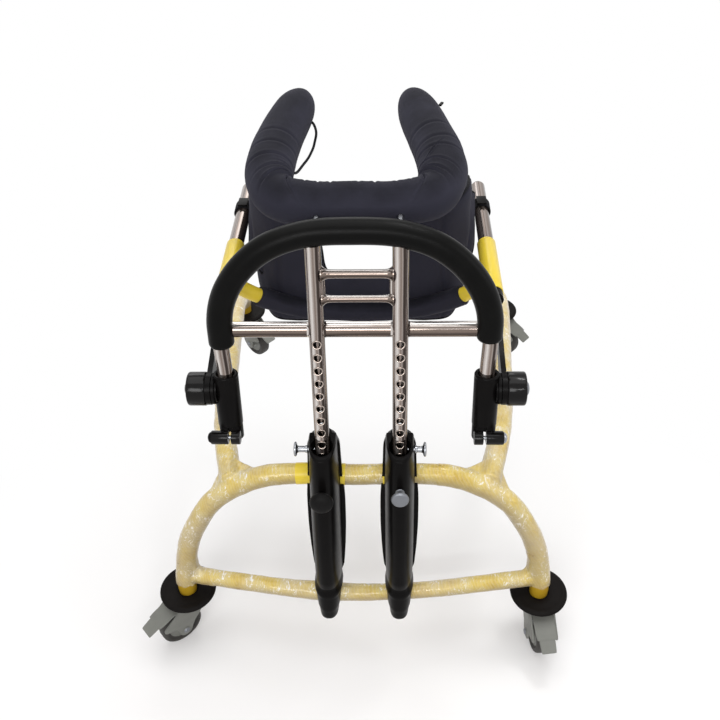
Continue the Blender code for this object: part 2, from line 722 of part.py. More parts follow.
def clamp_sleeves(build, around_handle):
    """A sleeve on each post, with the pivot boss and stud and the split clamp at its foot."""
    for word, side in SIDES.items():
        x = side * POST_X
        foot = mast_point(x, SLEEVE_BOTTOM)
        length = (mast_point(x, SLEEVE_TOP) - foot).length
        bore = POST_RADIUS + FIT
        profile = [
            (0.0, length), (SLEEVE_RADIUS - 0.0025, length),
            (SLEEVE_RADIUS - 0.0006, length - 0.0016), (SLEEVE_RADIUS, length - 0.005),
            (SLEEVE_RADIUS, 0.0), (0.0, 0.0),
        ]
        sleeve = build.turned("clamp_sleeve_" + word, profile, foot, LEAN_UP, "plastic",
                              steps=16)
        profile = [
            (0.0, length + 0.01), (bore + 0.010, length + 0.01), (bore, length - 0.003),
            (bore, -0.02), (0.0, -0.02),
        ]
        post_way = build.turned("cut_post_" + word, profile, foot, LEAN_UP, None, steps=16)
        pivot = mast_point(x, PIVOT_RISE)
        face = Vector((side * BOSS_FACE_X, pivot.y, pivot.z))
        boss = bar(build, "join_boss_" + word, pivot, face, BOSS_RADIUS, sides=16)
        stud_end = face + Vector((side * (ARM_THICKNESS + KNOB_LENGTH - 0.006), 0, 0))
        stud = bar(build, "join_stud_" + word, pivot, stud_end, PIVOT_STUD_RADIUS, sides=12)
        clamp = mast_point(x, CLAMP_RISE, CLAMP_BACK)
        ends = clamp - Vector((side * CLAMP_IN, 0, 0)), clamp + Vector((side * CLAMP_OUT, 0, 0))
        lug = bar(build, "join_lug_" + word, *ends, CLAMP_BOSS_RADIUS, sides=12)
        tip = clamp + Vector((side * (CLAMP_OUT + 0.01), 0, 0))
        base = clamp - Vector((side * (CLAMP_IN - 0.004), 0, 0))
        bolt_way = bar(build, "cut_bolt_" + word, base, tip, CLAMP_BOLT_RADIUS + FIT, sides=10)
        lean = Matrix.Rotation(-LEAN_ANGLE, 4, "X")
        lean.translation = clamp
        slot = build.box("cut_slot_" + word, (-CLAMP_SLOT / 2, -0.03, -0.03),
                         (CLAMP_SLOT / 2, 0.010, 0.020), turn=lean)
        for joined in (boss, lug, stud):
            build.boolean(sleeve, joined, "UNION")
        for cutter in (post_way, slot, bolt_way):
            build.boolean(sleeve, cutter)
        clamp_bolt(build, word, side, clamp)
        knob(build, word, side, face)


def clamp_bolt(build, word, side, clamp):
    out = CLAMP_OUT + GAP
    profile = [
        (0.0, out + 0.0055), (0.005, out + 0.0045), (0.0082, out + 0.0015), (0.0082, out),
        (CLAMP_BOLT_RADIUS, out), (CLAMP_BOLT_RADIUS, 0.005 - CLAMP_IN),
        (0.0, 0.005 - CLAMP_IN),
    ]
    build.turned("clamp_bolt_" + word, profile, clamp, (side, 0, 0), "steel", steps=14)


def knob(build, word, side, face):
    start = ARM_THICKNESS + 2 * GAP
    end = start + KNOB_LENGTH
    bore = PIVOT_STUD_RADIUS + FIT
    deep = ARM_THICKNESS + KNOB_LENGTH - 0.006 + GAP
    profile = [
        (0.0, end + KNOB_DOME), (0.007, end + KNOB_DOME * 0.8), (0.0125, end),
        (KNOB_RADIUS - 0.002, end), (KNOB_RADIUS, end - 0.003), (KNOB_RADIUS, start + 0.0045),
        (KNOB_RADIUS - 0.0015, start + 0.003), (KNOB_RADIUS - 0.0005, start), (bore, start),
        (bore, deep), (0.0, deep),
    ]
    build.turned("pivot_knob_" + word, profile, face, (side, 0, 0), "plastic", steps=18)


def on_frame(across, back, up):
    """A point as shares of the side sleeves' distance out, the frame's depth and its height."""
    return Vector((SIDE_X * across, FRAME_DEPTH * back, SIDE_Z * up))


def pelvic_path(half_width=None):
    """Centreline of the pelvic tube, from the left side sleeve to the right one."""
    half = [
        on_frame(0.0, 0.8535, 0.8171),
        on_frame(0.4369, 0.8465, 0.8308),
        on_frame(0.7282, 0.8225, 0.8735),
        on_frame(0.9029, 0.7803, 0.9282),
        on_frame(0.9951, 0.738, 0.9761),
    ]
    path = smooth(mirrored(half), 1)
    if half_width is None:
        return path
    kept = [point for point in path if abs(point.x) < half_width - 0.004]
    for i, point in enumerate(path[:-1]):
        after = path[i + 1]
        for end in (-half_width, half_width):
            if point.x < end <= after.x:
                share = (end - point.x) / (after.x - point.x)
                place = 0 if end < 0 else len(kept)
                kept.insert(place, mix(point, after, share))
    return kept


def arm_outline(pivot):
    """The pelvic arm seen from its side: a round eye, then a bar up to the side sleeve."""
    end = Vector((SIDE_NEAR_Y - 0.008, SIDE_Z))
    centre = Vector((pivot.y, pivot.z))
    along = (end - centre).normalized()
    across = Vector((-along.y, along.x))
    eye = KNOB_RADIUS - 0.0012
    start = math.atan2(along.y, along.x)
    points = []
    for i in range(13):
        angle = start + math.radians(mix(38, 322, i / 12))
        points.append(centre + Vector((math.cos(angle), math.sin(angle))) * eye)
    points.append(centre + along * 0.060 - across * 0.0100)
    points.append(end - across * 0.0085)
    points.append(end + along * 0.006)
    points.append(end + across * 0.0085)
    points.append(centre + along * 0.060 + across * 0.0100)
    return points


def pelvic_frame(build):
    """Arms, side sleeves with their rods, and the tube that the harness hangs from."""
    tube_of_pelvis = build.tube("pelvic_tube", pelvic_path(), PELVIC_RADIUS, "yellow",
                                wall=TUBE_WALL)
    inner = SIDE_RADIUS - SIDE_WALL
    for word, side in SIDES.items():
        pivot = mast_point(side * POST_X, PIVOT_RISE)
        centre_x = side * (BOSS_FACE_X + GAP + ARM_THICKNESS / 2)
        frame = Matrix(((0, 0, 1), (1, 0, 0), (0, 1, 0))).to_4x4()
        frame.translation = (centre_x, 0.0, 0.0)
        arm = build.plate("pelvic_arm_" + word, arm_outline(pivot), ARM_THICKNESS, frame,
                          "plastic")
        hub = Vector((centre_x, pivot.y, pivot.z))
        eye = bar(build, "cut_eye_" + word, hub - Vector((0.02, 0, 0)),
                  hub + Vector((0.02, 0, 0)), PIVOT_STUD_RADIUS + FIT, sides=12)
        collar_start = Vector((side * SIDE_X, SIDE_NEAR_Y - 0.016, SIDE_Z))
        collar_end = Vector((side * SIDE_X, SIDE_NEAR_Y - GAP, SIDE_Z))
        plug_end = Vector((side * SIDE_X, SIDE_NEAR_Y + 0.022, SIDE_Z))
        collar = bar(build, "join_collar_" + word, collar_start, collar_end,
                     SIDE_RADIUS - 0.001, sides=14)
        plug = bar(build, "join_plug_" + word, collar_start + Vector((0, 0.004, 0)), plug_end,
                   inner - FIT, sides=14)
        build.boolean(arm, collar, "UNION")
        build.boolean(arm, plug, "UNION")
        build.boolean(arm, eye)
        place_origin(arm, hub)
        ends = (
            Vector((side * SIDE_X, SIDE_NEAR_Y, SIDE_Z)),
            Vector((side * SIDE_X, SIDE_FAR_Y, SIDE_Z)),
        )
        build.tube("side_sleeve_" + word, ends, SIDE_RADIUS, "yellow", sides=16,
                   wall=SIDE_WALL)
        around = bar(build, "cut_sleeve_" + word, *ends, SIDE_RADIUS + GAP, sides=16)
        build.boolean(tube_of_pelvis, around)
        rod(build, word, side)
        strap(build, word, side)


def rod(build, word, side):
    length = ROD_FAR_Y - ROD_NEAR_Y
    radius = ROD_RADIUS
    profile = [
        (0.0, length), (radius * 0.5, length - 0.001), (radius * 0.87, length - 0.0045),
        (radius, length - 0.010), (radius, 0.0), (0.0, 0.0),
    ]
    build.turned("side_rod_" + word, profile, (side * SIDE_X, ROD_NEAR_Y, SIDE_Z), (0, 1, 0),
                 "chrome", steps=16)


def strap(build, word, side):
    """A webbing loop round the rod, with the slider on its top and its tail inwards."""
    inside = ROD_RADIUS + 0.0008
    outside = inside + STRAP_THICKNESS
    half = STRAP_WIDTH / 2
    profile = [(outside, half), (outside, -half), (inside, -half), (inside, half)]
    centre = Vector((side * SIDE_X, STRAP_Y, SIDE_Z))
    loop = build.turned("rod_strap_" + word, profile, centre, (0, 1, 0), "fabric", steps=14,
                        closed=True)
    low = Vector((-0.0085, -0.0125, outside - 0.001))
    high = Vector((0.0085, 0.0125, outside + 0.0025))
    slider = build.box("join_slider_" + word, centre + low, centre + high)
    low = Vector((-outside - 0.005, -0.011, 0.0))
    high = Vector((-inside - 0.0005, 0.011, STRAP_THICKNESS))
    if side < 0:
        low.x, high.x = -high.x, -low.x
    tail = build.box("join_tail_" + word, centre + low, centre + high)
    build.boolean(loop, slider, "UNION")
    build.boolean(loop, tail, "UNION")


def cushion_path():
    """Centreline of the trunk cushion: a U, open to the back, its right arm drawn in more."""
    depth = CUSHION_END_Y - CUSHION_FRONT_Y
    front = ((-0.45, 0.0), (0.0, -0.003), (0.45, 0.0))
    arms = {
        "left": ((-0.85, 0.055), (-0.985, 0.19), (-1.0, 0.36), (-0.96, 0.56), (-0.87, 0.78),
                 (-0.765, 1.0)),
        "right": ((0.85, 0.055), (0.975, 0.19), (0.972, 0.34), (0.89, 0.53), (0.78, 0.74),
                  (0.645, 1.0)),
    }
    shape = arms["left"][::-1] + front + arms["right"]
    return smooth([
        (CUSHION_HALF * across, CUSHION_FRONT_Y + depth * back, CUSHION_Z)
        for across, back in shape
    ], 3)


def cushion_rings(path):
    """Sections of the cushion: fullest between its creases, and drawn in at its ends."""
    sides = 14
    total = len(path) - 1
    rings = []
    for i, point in enumerate(path):
        share = abs(2 * i / total - 1)
        ahead = path[min(i + 1, total)] - path[max(i - 1, 0)]
        across = Vector((ahead.y, -ahead.x, 0.0)).normalized()
        slim = max(0.0, (share - 0.55) / 0.45)
        end = max(0.0, (share - 0.82) / 0.18)
        fuller = 0.94 + 0.15 * min(1.0, max(0.0, (share - 0.30) / 0.20))
        taper = fuller * (1 - 0.12 * slim ** 2) * math.sqrt(max(0.0, 1 - 0.94 * end ** 3))
        fold = 0.0
        for crease in (0.26, 0.36, 0.47, 0.58):
            fold += math.exp(-((share - crease) / 0.020) ** 2)
        ring = []
        for j in range(sides):
            angle = 2 * math.pi * j / sides
            inward = max(0.0, math.cos(angle))
            radius = CUSHION_RADIUS * taper * (1 - 0.10 * fold * inward)
            offset = across * math.cos(angle) * radius
            height = Vector((0, 0, math.sin(angle) * radius * (0.99 - 0.03 * fold)))
            ring.append(point - offset + height)
        rings.append(ring)
    return rings


def trunk_support(build, around_stems):
    """The U cushion, the rod frame inside it and the two arms that hold it to the stems."""
    path = cushion_path()
    trimmed = path[5:-5]
    arms = []
    for x in STEM_XS.values():
        arms.append((
            mast_point(x, HANDLE_TOP - CUSHION_ARM_BELOW_HANDLE),
            Vector((x, CUSHION_FRONT_Y, CUSHION_Z)),
        ))
    thin = trimmed[::2]
    frame = build.tube("cushion_frame", thin, CORE_RADIUS, "steel", sides=8)
    for number, ends in enumerate(arms):
        joined = bar(build, f"join_cushion_arm_{number}", *ends, CORE_RADIUS * 1.05, sides=8)
        build.boolean(frame, joined, "UNION")
    for around in around_stems:
        build.boolean(frame, around)
    cushion = build.loft("trunk_cushion", cushion_rings(path), "fabric")
    bore = build.tube("cut_cushion_bore", thin, CORE_RADIUS + FIT, None, sides=8)
    build.boolean(cushion, bore)
    for number, ends in enumerate(arms):
        way = bar(build, f"cut_cushion_arm_{number}", *ends, CORE_RADIUS * 1.05 + FIT, sides=8)
        build.boolean(cushion, way)
    build.tube("cushion_cord", cord_path(), CORD_RADIUS, "fabric", sides=8)
    socket = build.tube("cut_cord", cord_path(), CORD_RADIUS + GAP, None, sides=8)
    build.boolean(cushion, socket)


def cord_path():
    """The elastic cord that hangs between two points on the cushion's left arm."""
    route = (
        (0.75, 0.7765, 0.0563), (0.5977, 0.7593, 0.2535),
        (0.5617, 0.7447, 0.5634), (0.5805, 0.7037, 0.9577),
        (0.6219, 0.6095, 1.0704), (0.6828, 0.4897, 0.9296),
        (0.7312, 0.3519, 0.5634), (0.75, 0.2894, 0.2254),
        (0.8906, 0.2607, 0.1127),
    )
    depth = CUSHION_END_Y - CUSHION_FRONT_Y
    return smooth([
        (-CUSHION_HALF * across, CUSHION_FRONT_Y + depth * back, CUSHION_Z - CUSHION_RADIUS * down)
        for across, back, down in route
    ], 2)


def harness(build):
    """The padded panel that wraps the pelvic tube, and the two slings behind it."""
    casing = build.tube("harness_panel", pelvic_path(CASING_HALF),
                        PELVIC_RADIUS + FIT + CASING_WALL, "fabric", sides=12)
    bore = build.tube("cut_pelvic", pelvic_path(), PELVIC_RADIUS + FIT, None)
    low = (
        (0.0, 0.8944, 0.7726), (0.2427, 0.8915, 0.7726),
        (0.3641, 0.8887, 0.7726), (0.5583, 0.8789, 0.7752),
        (0.7184, 0.8845, 0.7846), (0.8155, 0.9521, 0.8325),
        (0.8495, 1.0986, 0.9145), (0.8544, 1.2676, 0.9607),
        (0.8495, 1.3859, 0.9915),
    )
    high = (
        (0.0, 0.8676, 0.9453), (0.2427, 0.8648, 0.9504),
        (0.3204, 0.862, 1.0632), (0.4854, 0.862, 1.1282),
        (0.6796, 0.8901, 1.1538), (0.8058, 0.969, 1.1692),
        (0.8544, 1.1127, 1.1521), (0.8641, 1.2676, 1.1111),
        (0.8544, 1.3859, 1.0462),
    )
    low = smooth(mirrored([on_frame(*point) for point in low]), 2)
    high = smooth(mirrored([on_frame(*point) for point in high]), 2)
    rings = []
    for i, (bottom, top) in enumerate(zip(low, high)):
        ahead = low[min(i + 1, len(low) - 1)] - low[max(i - 1, 0)]
        out = Vector((ahead.y, -ahead.x, 0.0)).normalized()
        puff = 1.0 + 0.25 * math.cos(i * math.pi / 3)
        ring = []
        for share, depth in ((0.0, 0.3), (0.25, 0.5), (0.5, 0.5), (0.75, 0.5), (1.0, 0.22)):
            ring.append(mix(bottom, top, share) + out * PANEL_THICKNESS * depth * puff)
        for share, depth in ((1.0, 0.22), (0.75, 0.5), (0.5, 0.5), (0.25, 0.5), (0.0, 0.3)):
            ring.append(mix(bottom, top, share) - out * PANEL_THICKNESS * depth)
        rings.append(ring)
    panel = build.loft("join_panel", rings)
    build.boolean(casing, panel, "UNION")
    build.boolean(casing, bore)
    for word, side in SIDES.items():
        sling(build, word, side)


def sling(build, word, side):
    """A thigh sling: a fabric strip from behind the tube down and back up to the panel."""
    route = (
        (0.4466, 0.9062, 0.8171), (0.4733, 0.9662, 0.7521),
        (0.534, 1.0986, 0.7179), (0.6214, 1.2282, 0.7453),
        (0.7233, 1.3183, 0.8205), (0.7816, 1.3352, 0.9145),
        (0.8044, 1.3352, 1.0085),
    )
    path = smooth([on_frame(side * across, back, up) for across, back, up in route], 2)
    rings = []
    for i, point in enumerate(path):
        ahead = (path[min(i + 1, len(path) - 1)] - path[max(i - 1, 0)]).normalized()
        across = Vector((0, 0, 1)).cross(ahead).normalized()
        up = ahead.cross(across)
        end = abs(2 * i / (len(path) - 1) - 1)
        half = SLING_WIDTH / 2 * (1.0 - 0.35 * end ** 2)
        ring = []
        for x, z in ((-1, 0), (-0.6, 0.5), (0.6, 0.5), (1, 0), (0.6, -0.5), (-0.6, -0.5)):
            curl = 0.006 * x * x * (1.0 - end * end)
            ring.append(point + across * x * half + up * (z * SLING_THICKNESS + curl))
        rings.append(ring)
    build.loft("thigh_sling_" + word, rings, "fabric")


def centre_on_origin(build):
    """Moves the base so that the origin is the centre of the base of the overall box."""
    bpy.context.view_layer.update()
    graph = bpy.context.evaluated_depsgraph_get()
    points = []
    for item in build.nodes.objects:
        if item.type == "MESH":
            shape = item.evaluated_get(graph).to_mesh()
            points += [item.matrix_world @ vertex.co for vertex in shape.vertices]
    low = Vector([min(point[axis] for point in points) for axis in range(3)])
    high = Vector([max(point[axis] for point in points) for axis in range(3)])
    build.base.location = (-(low.x + high.x) / 2, -(low.y + high.y) / 2, -low.z)


def main():
    clear_scene()
    build = Builder()
    build.materials = {
        "yellow": material("yellow_paint", YELLOW, 0.32),
        "chrome": material("chrome", CHROME, 0.12, 1.0),
        "foam": material("black_foam", BLACK_FOAM, 0.5),
        "plastic": material("black_plastic", BLACK_PLASTIC, 0.3),
        "fabric": material("black_fabric", BLACK_FABRIC, 0.85),
        "caster_grey": material("caster_grey", CASTER_GREY, 0.45),
        "tyre": material("tyre", TYRE_GREY, 0.7),
        "steel": material("steel", STEEL, 0.25, 1.0),
    }
    around_arch = base_frame(build)
    casters(build)
    housings(build, around_arch)
    pins(build)
    around_handle, around_stems, _ = mast(build)
    clamp_sleeves(build, around_handle)
    pelvic_frame(build)
    trunk_support(build, around_stems)
    harness(build)
    centre_on_origin(build)


main()
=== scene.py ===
"""The looks of the gait trainer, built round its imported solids.

Tubes, mouldings, soft goods and small fittings get finer pieces here, each on its own body.
All sizes are in metres, in the frame of the solids.
"""

import math

import bmesh
import bpy
from mathutils import Matrix, Vector, kdtree, noise
from mathutils.geometry import interpolate_bezier


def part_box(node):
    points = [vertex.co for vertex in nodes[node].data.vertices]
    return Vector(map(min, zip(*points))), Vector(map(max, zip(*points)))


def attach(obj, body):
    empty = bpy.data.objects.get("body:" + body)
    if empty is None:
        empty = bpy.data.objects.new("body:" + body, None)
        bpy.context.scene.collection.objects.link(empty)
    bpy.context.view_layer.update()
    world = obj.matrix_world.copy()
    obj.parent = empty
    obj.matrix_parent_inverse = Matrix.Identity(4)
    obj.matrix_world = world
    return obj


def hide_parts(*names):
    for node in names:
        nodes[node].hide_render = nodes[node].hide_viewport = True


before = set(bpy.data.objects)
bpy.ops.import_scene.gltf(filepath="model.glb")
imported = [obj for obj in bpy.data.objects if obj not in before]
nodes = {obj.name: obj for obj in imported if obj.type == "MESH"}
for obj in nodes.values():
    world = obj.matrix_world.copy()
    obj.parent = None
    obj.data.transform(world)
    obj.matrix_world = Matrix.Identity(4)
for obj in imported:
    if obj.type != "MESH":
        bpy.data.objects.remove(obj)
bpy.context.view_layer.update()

low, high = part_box("bumper_front_left")
SHIFT = Vector((0.0, (low.y + high.y) / 2, 0.0))
SIDES = {"left": -1, "right": 1}
UP = Vector((0, 0, 1))

# The leaning plane of the mast
MAST_FOOT_Y, LEAN = -0.055, 0.2
LEAN_ANGLE = math.atan(LEAN)
LEAN_UP = Vector((0.0, math.sin(LEAN_ANGLE), math.cos(LEAN_ANGLE)))
LEAN_BACK = Vector((0.0, math.cos(LEAN_ANGLE), -math.sin(LEAN_ANGLE)))

# Base, casters and bumper discs
TRACK_HALF, WHEELBASE = 0.3, 0.772
TUBE_RADIUS, CROSSBAR_RADIUS, FILM_THICKNESS = 0.0155, 0.0125, 0.0016
LEG_FOOT, DISC_TOP, DISC_BOTTOM = 0.10936, 0.11356, 0.10606
DISC_RADIUS = 0.048
ARCH_TOP_Z, CROSSBAR_Z, CROSSBAR_BOW = 0.356, 0.15, 0.038
RAIL_START_X, RAIL_REAR_Z = 0.202, 0.176
AXLE_Z, CROWN_BOTTOM, CROWN_TOP = 0.03776, 0.09376, 0.10576
TRAIL, CHEEK_GAP, CHEEK_WALL = 0.03, 0.0364, 0.0035
PEDAL_REACH = TRAIL + 0.009
CORNERS = {
    "front_left": (-TRACK_HALF, 0.0, 222.0),
    "front_right": (TRACK_HALF, 0.0, 277.0),
    "rear_right": (TRACK_HALF, WHEELBASE, 318.0),
    "rear_left": (-TRACK_HALF, WHEELBASE, 316.0),
}

# Mast and housings
STEM_XS = {"left": -0.052, "right": 0.063}
STEM_RADIUS, STEM_WALL, STEM_BOTTOM, STEM_TOP = 0.011, 0.0017, 0.262, 0.752
HOLE_RADIUS, HOLE_FIRST, HOLE_PITCH, HOLE_COUNT = 0.0052, 0.611, 0.0207, 14
RIM_REACH = 0.0061
POST_X, POST_RADIUS, POST_BOTTOM = 0.185, 0.011, 0.478
HANDLE_SHOULDER, HANDLE_TOP, FOAM_RADIUS = 0.64, 0.77, 0.018
FOAM_ENDS = {"left": 0.604, "right": 0.6125}
CROSS_TUBE_RISE, CROSS_TUBE_BACK = 0.626, 0.007
CROSS_TUBE_RADIUS, CROSS_TUBE_HALF = 0.011, 0.1705
LADDERS = {"upper": (0.711, 0.006), "lower": (0.675, 0.0046)}
HOUSING_TIP, HOUSING_TOP, HOUSING_JOINT, HOUSING_SIDES = 0.114, 0.4495, 0.0156, 44
PIN_TIP, PLUNGER_FACE = 0.0116, 0.0444
PIN_RISE, PIN_REACH = 0.431, {"left": 0.043, "right": 0.0395}
PLUNGER_RISE = {"left": 0.3785, "right": 0.386}
PLUNGER_REACH = {"left": 0.026, "right": 0.02}
PLUNGER_HEAD = {"left": (0.0175, 0.016), "right": (0.013, 0.0055)}

# Clamps and pelvic frame
SLEEVE_RADIUS, SLEEVE_BOTTOM, SLEEVE_TOP = 0.018, 0.4545, 0.561
PIVOT_RISE, BOSS_FACE_X = 0.5355, 0.2055
ARM_THICKNESS, KNOB_RADIUS, KNOB_LENGTH = 0.0075, 0.0245, 0.0265
CLAMP_RISE, CLAMP_BACK, CLAMP_RADIUS = 0.463, -0.0165, 0.0102
CLAMP_IN, CLAMP_OUT, CLAMP_SLOT = 0.0155, 0.0275, 0.0042
SIDE_X, SIDE_Z, SIDE_RADIUS, SIDE_INNER = 0.206, 0.585, 0.015, 0.0128
SIDE_NEAR_Y, SIDE_FAR_Y = 0.209, 0.343
ROD_RADIUS, ROD_NEAR_Y, ROD_FAR_Y = 0.0125, 0.272, 0.532
PELVIC_RADIUS, CASING_HALF, STRAP_Y = 0.0125, 0.169, 0.452

# Trunk cushion
CUSHION_Z, CUSHION_RADIUS, CUSHION_HALF = 0.75, 0.0355, 0.128
CUSHION_FRONT_Y, CUSHION_DEPTH = 0.199, 0.349


def at(x, y, z):
    """A point whose y is measured from the front casters."""
    return Vector((x, y, z)) + SHIFT


def mast_point(x, rise, back=0.0):
    """A point on the leaning plane of the mast at this height, moved back along its normal."""
    return at(x, MAST_FOOT_Y + LEAN * rise, rise) + LEAN_BACK * back


def mix(a, b, share):
    return a + (b - a) * share


def bell(distance, width):
    """A smooth bump: 1 at no distance, falling away over this width."""
    return math.exp(-(distance / width) ** 2)


def smooth(points, steps):
    """A smooth curve through the points, with this many steps to a span."""
    points = [Vector(point) for point in points]
    spans = [(b - a).length for a, b in zip(points, points[1:])]
    slopes = [(points[1] - points[0]) / spans[0]]
    for i in range(1, len(points) - 1):
        ahead = (points[i + 1] - points[i]) / spans[i]
        behind = (points[i] - points[i - 1]) / spans[i - 1]
        slopes.append((ahead * spans[i - 1] + behind * spans[i]) / (spans[i - 1] + spans[i]))
    slopes.append((points[-1] - points[-2]) / spans[-1])
    curve = [points[0]]
    for i, span in enumerate(spans):
        leave = points[i] + slopes[i] * span / 3
        arrive = points[i + 1] - slopes[i + 1] * span / 3
        curve += interpolate_bezier(points[i], leave, arrive, points[i + 1], steps + 1)[1:]
    return curve


def mirrored(half):
    """Both halves of a line that is given from the middle to the right."""
    left = [Vector((-point[0], point[1], point[2])) for point in reversed(half)]
    return left[:-1] + [Vector(point) for point in half]


def shifted(points):
    return [Vector(point) + SHIFT for point in points]


def lengths_along(path):
    """How far along the path each of its points is."""
    run = [0.0]
    for a, b in zip(path, path[1:]):
        run.append(run[-1] + (b - a).length)
    return run


def points_at(path, wanted):
    """Points at these lengths along the path."""
    run = lengths_along(path)
    found, i = [], 0
    for length in wanted:
        length = min(max(length, 0.0), run[-1])
        while i < len(run) - 2 and run[i + 1] < length:
            i += 1
        share = (length - run[i]) / (run[i + 1] - run[i])
        found.append(path[i].lerp(path[i + 1], share))
    return found


def evenly(path, start, end, step, fine=()):
    """The path from start to end in even steps, with extra points at fine from both ends."""
    count = max(2, round((end - start) / step))
    wanted = {start + (end - start) * i / count for i in range(count + 1)}
    for offset in fine:
        wanted |= {start + offset, end - offset}
    return points_at(path, sorted(wanted))


def direction(path, i):
    """Which way the path runs at a point, from the points on either side."""
    return path[min(i + 1, len(path) - 1)] - path[max(i - 1, 0)]


def frames_along(path):
    """(point, side, up) at each point, turned as little as possible along the path."""
    found = []
    ahead = (path[1] - path[0]).normalized()
    up = UP if abs(ahead.z) < 0.9 else Vector((0, 1, 0))
    up = (up - ahead * up.dot(ahead)).normalized()
    for i, point in enumerate(path):
        ahead = direction(path, i).normalized()
        up = (up - ahead * up.dot(ahead)).normalized()
        found.append((point, ahead.cross(up), up))
    return found


def circle(count):
    """(cosine, sine) pairs at even steps round a circle."""
    angles = [2 * math.pi * i / count for i in range(count)]
    return [(math.cos(angle), math.sin(angle)) for angle in angles]


def squared(value, power):
    """A sine or cosine to a power, with its sign kept, for sections with rounded corners."""
    return math.copysign(abs(value) ** power, value)


def soften(made, angle=40):
    made.data.shade_smooth()
    made.data.set_sharp_from_angle(angle=math.radians(angle))
    return made


def linked(name, data):
    made = bpy.data.objects.new(name, data)
    bpy.context.scene.collection.objects.link(made)
    return made


def object_from(name, bm, look=None, angle=40):
    """A shaded object from a bmesh, which is freed."""
    bmesh.ops.recalc_face_normals(bm, faces=bm.faces)
    data = bpy.data.meshes.new(name)
    bm.to_mesh(data)
    bm.free()
    made = linked(name, data)
    if look:
        dress(made, look)
    return soften(made, angle)


def mesh_object(name, verts, faces, look=None, angle=40):
    data = bpy.data.meshes.new(name)
    data.from_pydata([tuple(v) for v in verts], [], faces)
    bm = bmesh.new()
    bm.from_mesh(data)
    bpy.data.meshes.remove(data)
    return object_from(name, bm, look, angle)


def grid_faces(rows, count, caps=True, closed=False):
    """Faces between rings of points, with a cap at each end or the last joined to the first."""
    faces = []
    for r in range(rows if closed else rows - 1):
        a, b = r * count, (r + 1) % rows * count
        for i in range(count):
            j = (i + 1) % count
            faces.append((a + i, a + j, b + j, b + i))
    if caps and not closed:
        faces.append(tuple(reversed(range(count))))
        faces.append(tuple(range((rows - 1) * count, rows * count)))
    return faces


def sweep(name, path, radius, sides=40, look=None, caps=True):
    """A tube round the path. Its radius may be a function of the length along and the angle."""
    verts = []
    for (point, side, up), run in zip(frames_along(path), lengths_along(path)):
        for j in range(sides):
            angle = 2 * math.pi * j / sides
            r = radius(run, angle) if callable(radius) else radius
            verts.append(point + (side * math.cos(angle) + up * math.sin(angle)) * r)
    return mesh_object(name, verts, grid_faces(len(path), sides, caps), look)


def rounded(radius, total, depth):
    """A tube's radius, rounded off over this depth at both ends."""
    def found(run, angle):
        near = min(1.0, max(0.0, min(run, total - run)) / depth)
        return radius - depth * (1 - math.sqrt(max(0.0, 1 - (1 - near) ** 2)))
    return found


def lathe(name, profile, centre, axis, look, steps=56, closed=False):
    """A turned piece from (radius, height) pairs, closed where the radius is nil."""
    along = Vector(axis).normalized()
    side = UP if abs(along.x) > 0.9 else Vector((1, 0, 0))
    side = (side - along * side.dot(along)).normalized()
    over = along.cross(side)
    if closed:
        profile = list(profile) + [profile[0]]
    verts, faces, rows = [], [], []
    for radius, height in profile:
        middle = Vector(centre) + along * height
        count = 1 if radius < 1e-6 else steps
        rows.append(list(range(len(verts), len(verts) + count)))
        verts += [middle + (side * across + over * rise) * radius
                  for across, rise in circle(steps)[:count]]
    if closed:
        rows[-1] = rows[0]
        verts = verts[:-steps]
    for a, b in zip(rows, rows[1:]):
        for j in range(steps):
            k = (j + 1) % steps
            face = [a[j % len(a)], a[k % len(a)], b[k % len(b)], b[j % len(b)]]
            if len(set(face)) > 2:
                faces.append(list(dict.fromkeys(face)))
    return mesh_object(name, verts, faces, look)


def bar_profile(radius, start, end):
    """The profile of a plain round bar, for a lathe."""
    return [(0.0, start), (radius, start), (radius, end), (0.0, end)]


def block(name, centre, size, look, turn=None, bevel=0.0008):
    bm = bmesh.new()
    bmesh.ops.create_cube(bm, size=1.0)
    bmesh.ops.scale(bm, vec=Vector(size), verts=bm.verts)
    bmesh.ops.bevel(bm, geom=bm.edges[:], offset=bevel, segments=3, affect="EDGES",
                    profile=0.6)
    if turn is not None:
        bmesh.ops.transform(bm, matrix=turn, verts=bm.verts)
    bmesh.ops.translate(bm, vec=Vector(centre), verts=bm.verts)
    return object_from(name, bm, look)


def plate(name, outline, thickness, turn, look):
    """A flat plate with rounded rims, from an outline in its own XY plane."""
    bm = bmesh.new()
    face = bm.faces.new([bm.verts.new((x, y, -thickness / 2)) for x, y in outline])
    grown = bmesh.ops.extrude_face_region(bm, geom=[face])["geom"]
    moved = [item for item in grown if isinstance(item, bmesh.types.BMVert)]
    bmesh.ops.translate(bm, vec=(0.0, 0.0, thickness), verts=moved)
    bmesh.ops.recalc_face_normals(bm, faces=bm.faces)
    rims = [edge for edge in bm.edges if edge.calc_face_angle(0.0) > math.radians(60)]
    bmesh.ops.bevel(bm, geom=rims, offset=0.0008, segments=2, affect="EDGES", profile=0.6)
    bmesh.ops.transform(bm, matrix=turn, verts=bm.verts)
    return object_from(name, bm, look)


def applied(made):
    """The object with its modifiers applied."""
    bpy.context.view_layer.update()
    graph = bpy.context.evaluated_depsgraph_get()
    data = bpy.data.meshes.new_from_object(made.evaluated_get(graph))
    made.modifiers.clear()
    made.data = data
    return made


def cut(made, *cutters):
    for cutter in cutters:
        modifier = made.modifiers.new(cutter.name, "BOOLEAN")
        modifier.object = cutter
        modifier.solver = "EXACT"
    applied(made)
    for cutter in cutters:
        bpy.data.objects.remove(cutter)
    return soften(made)


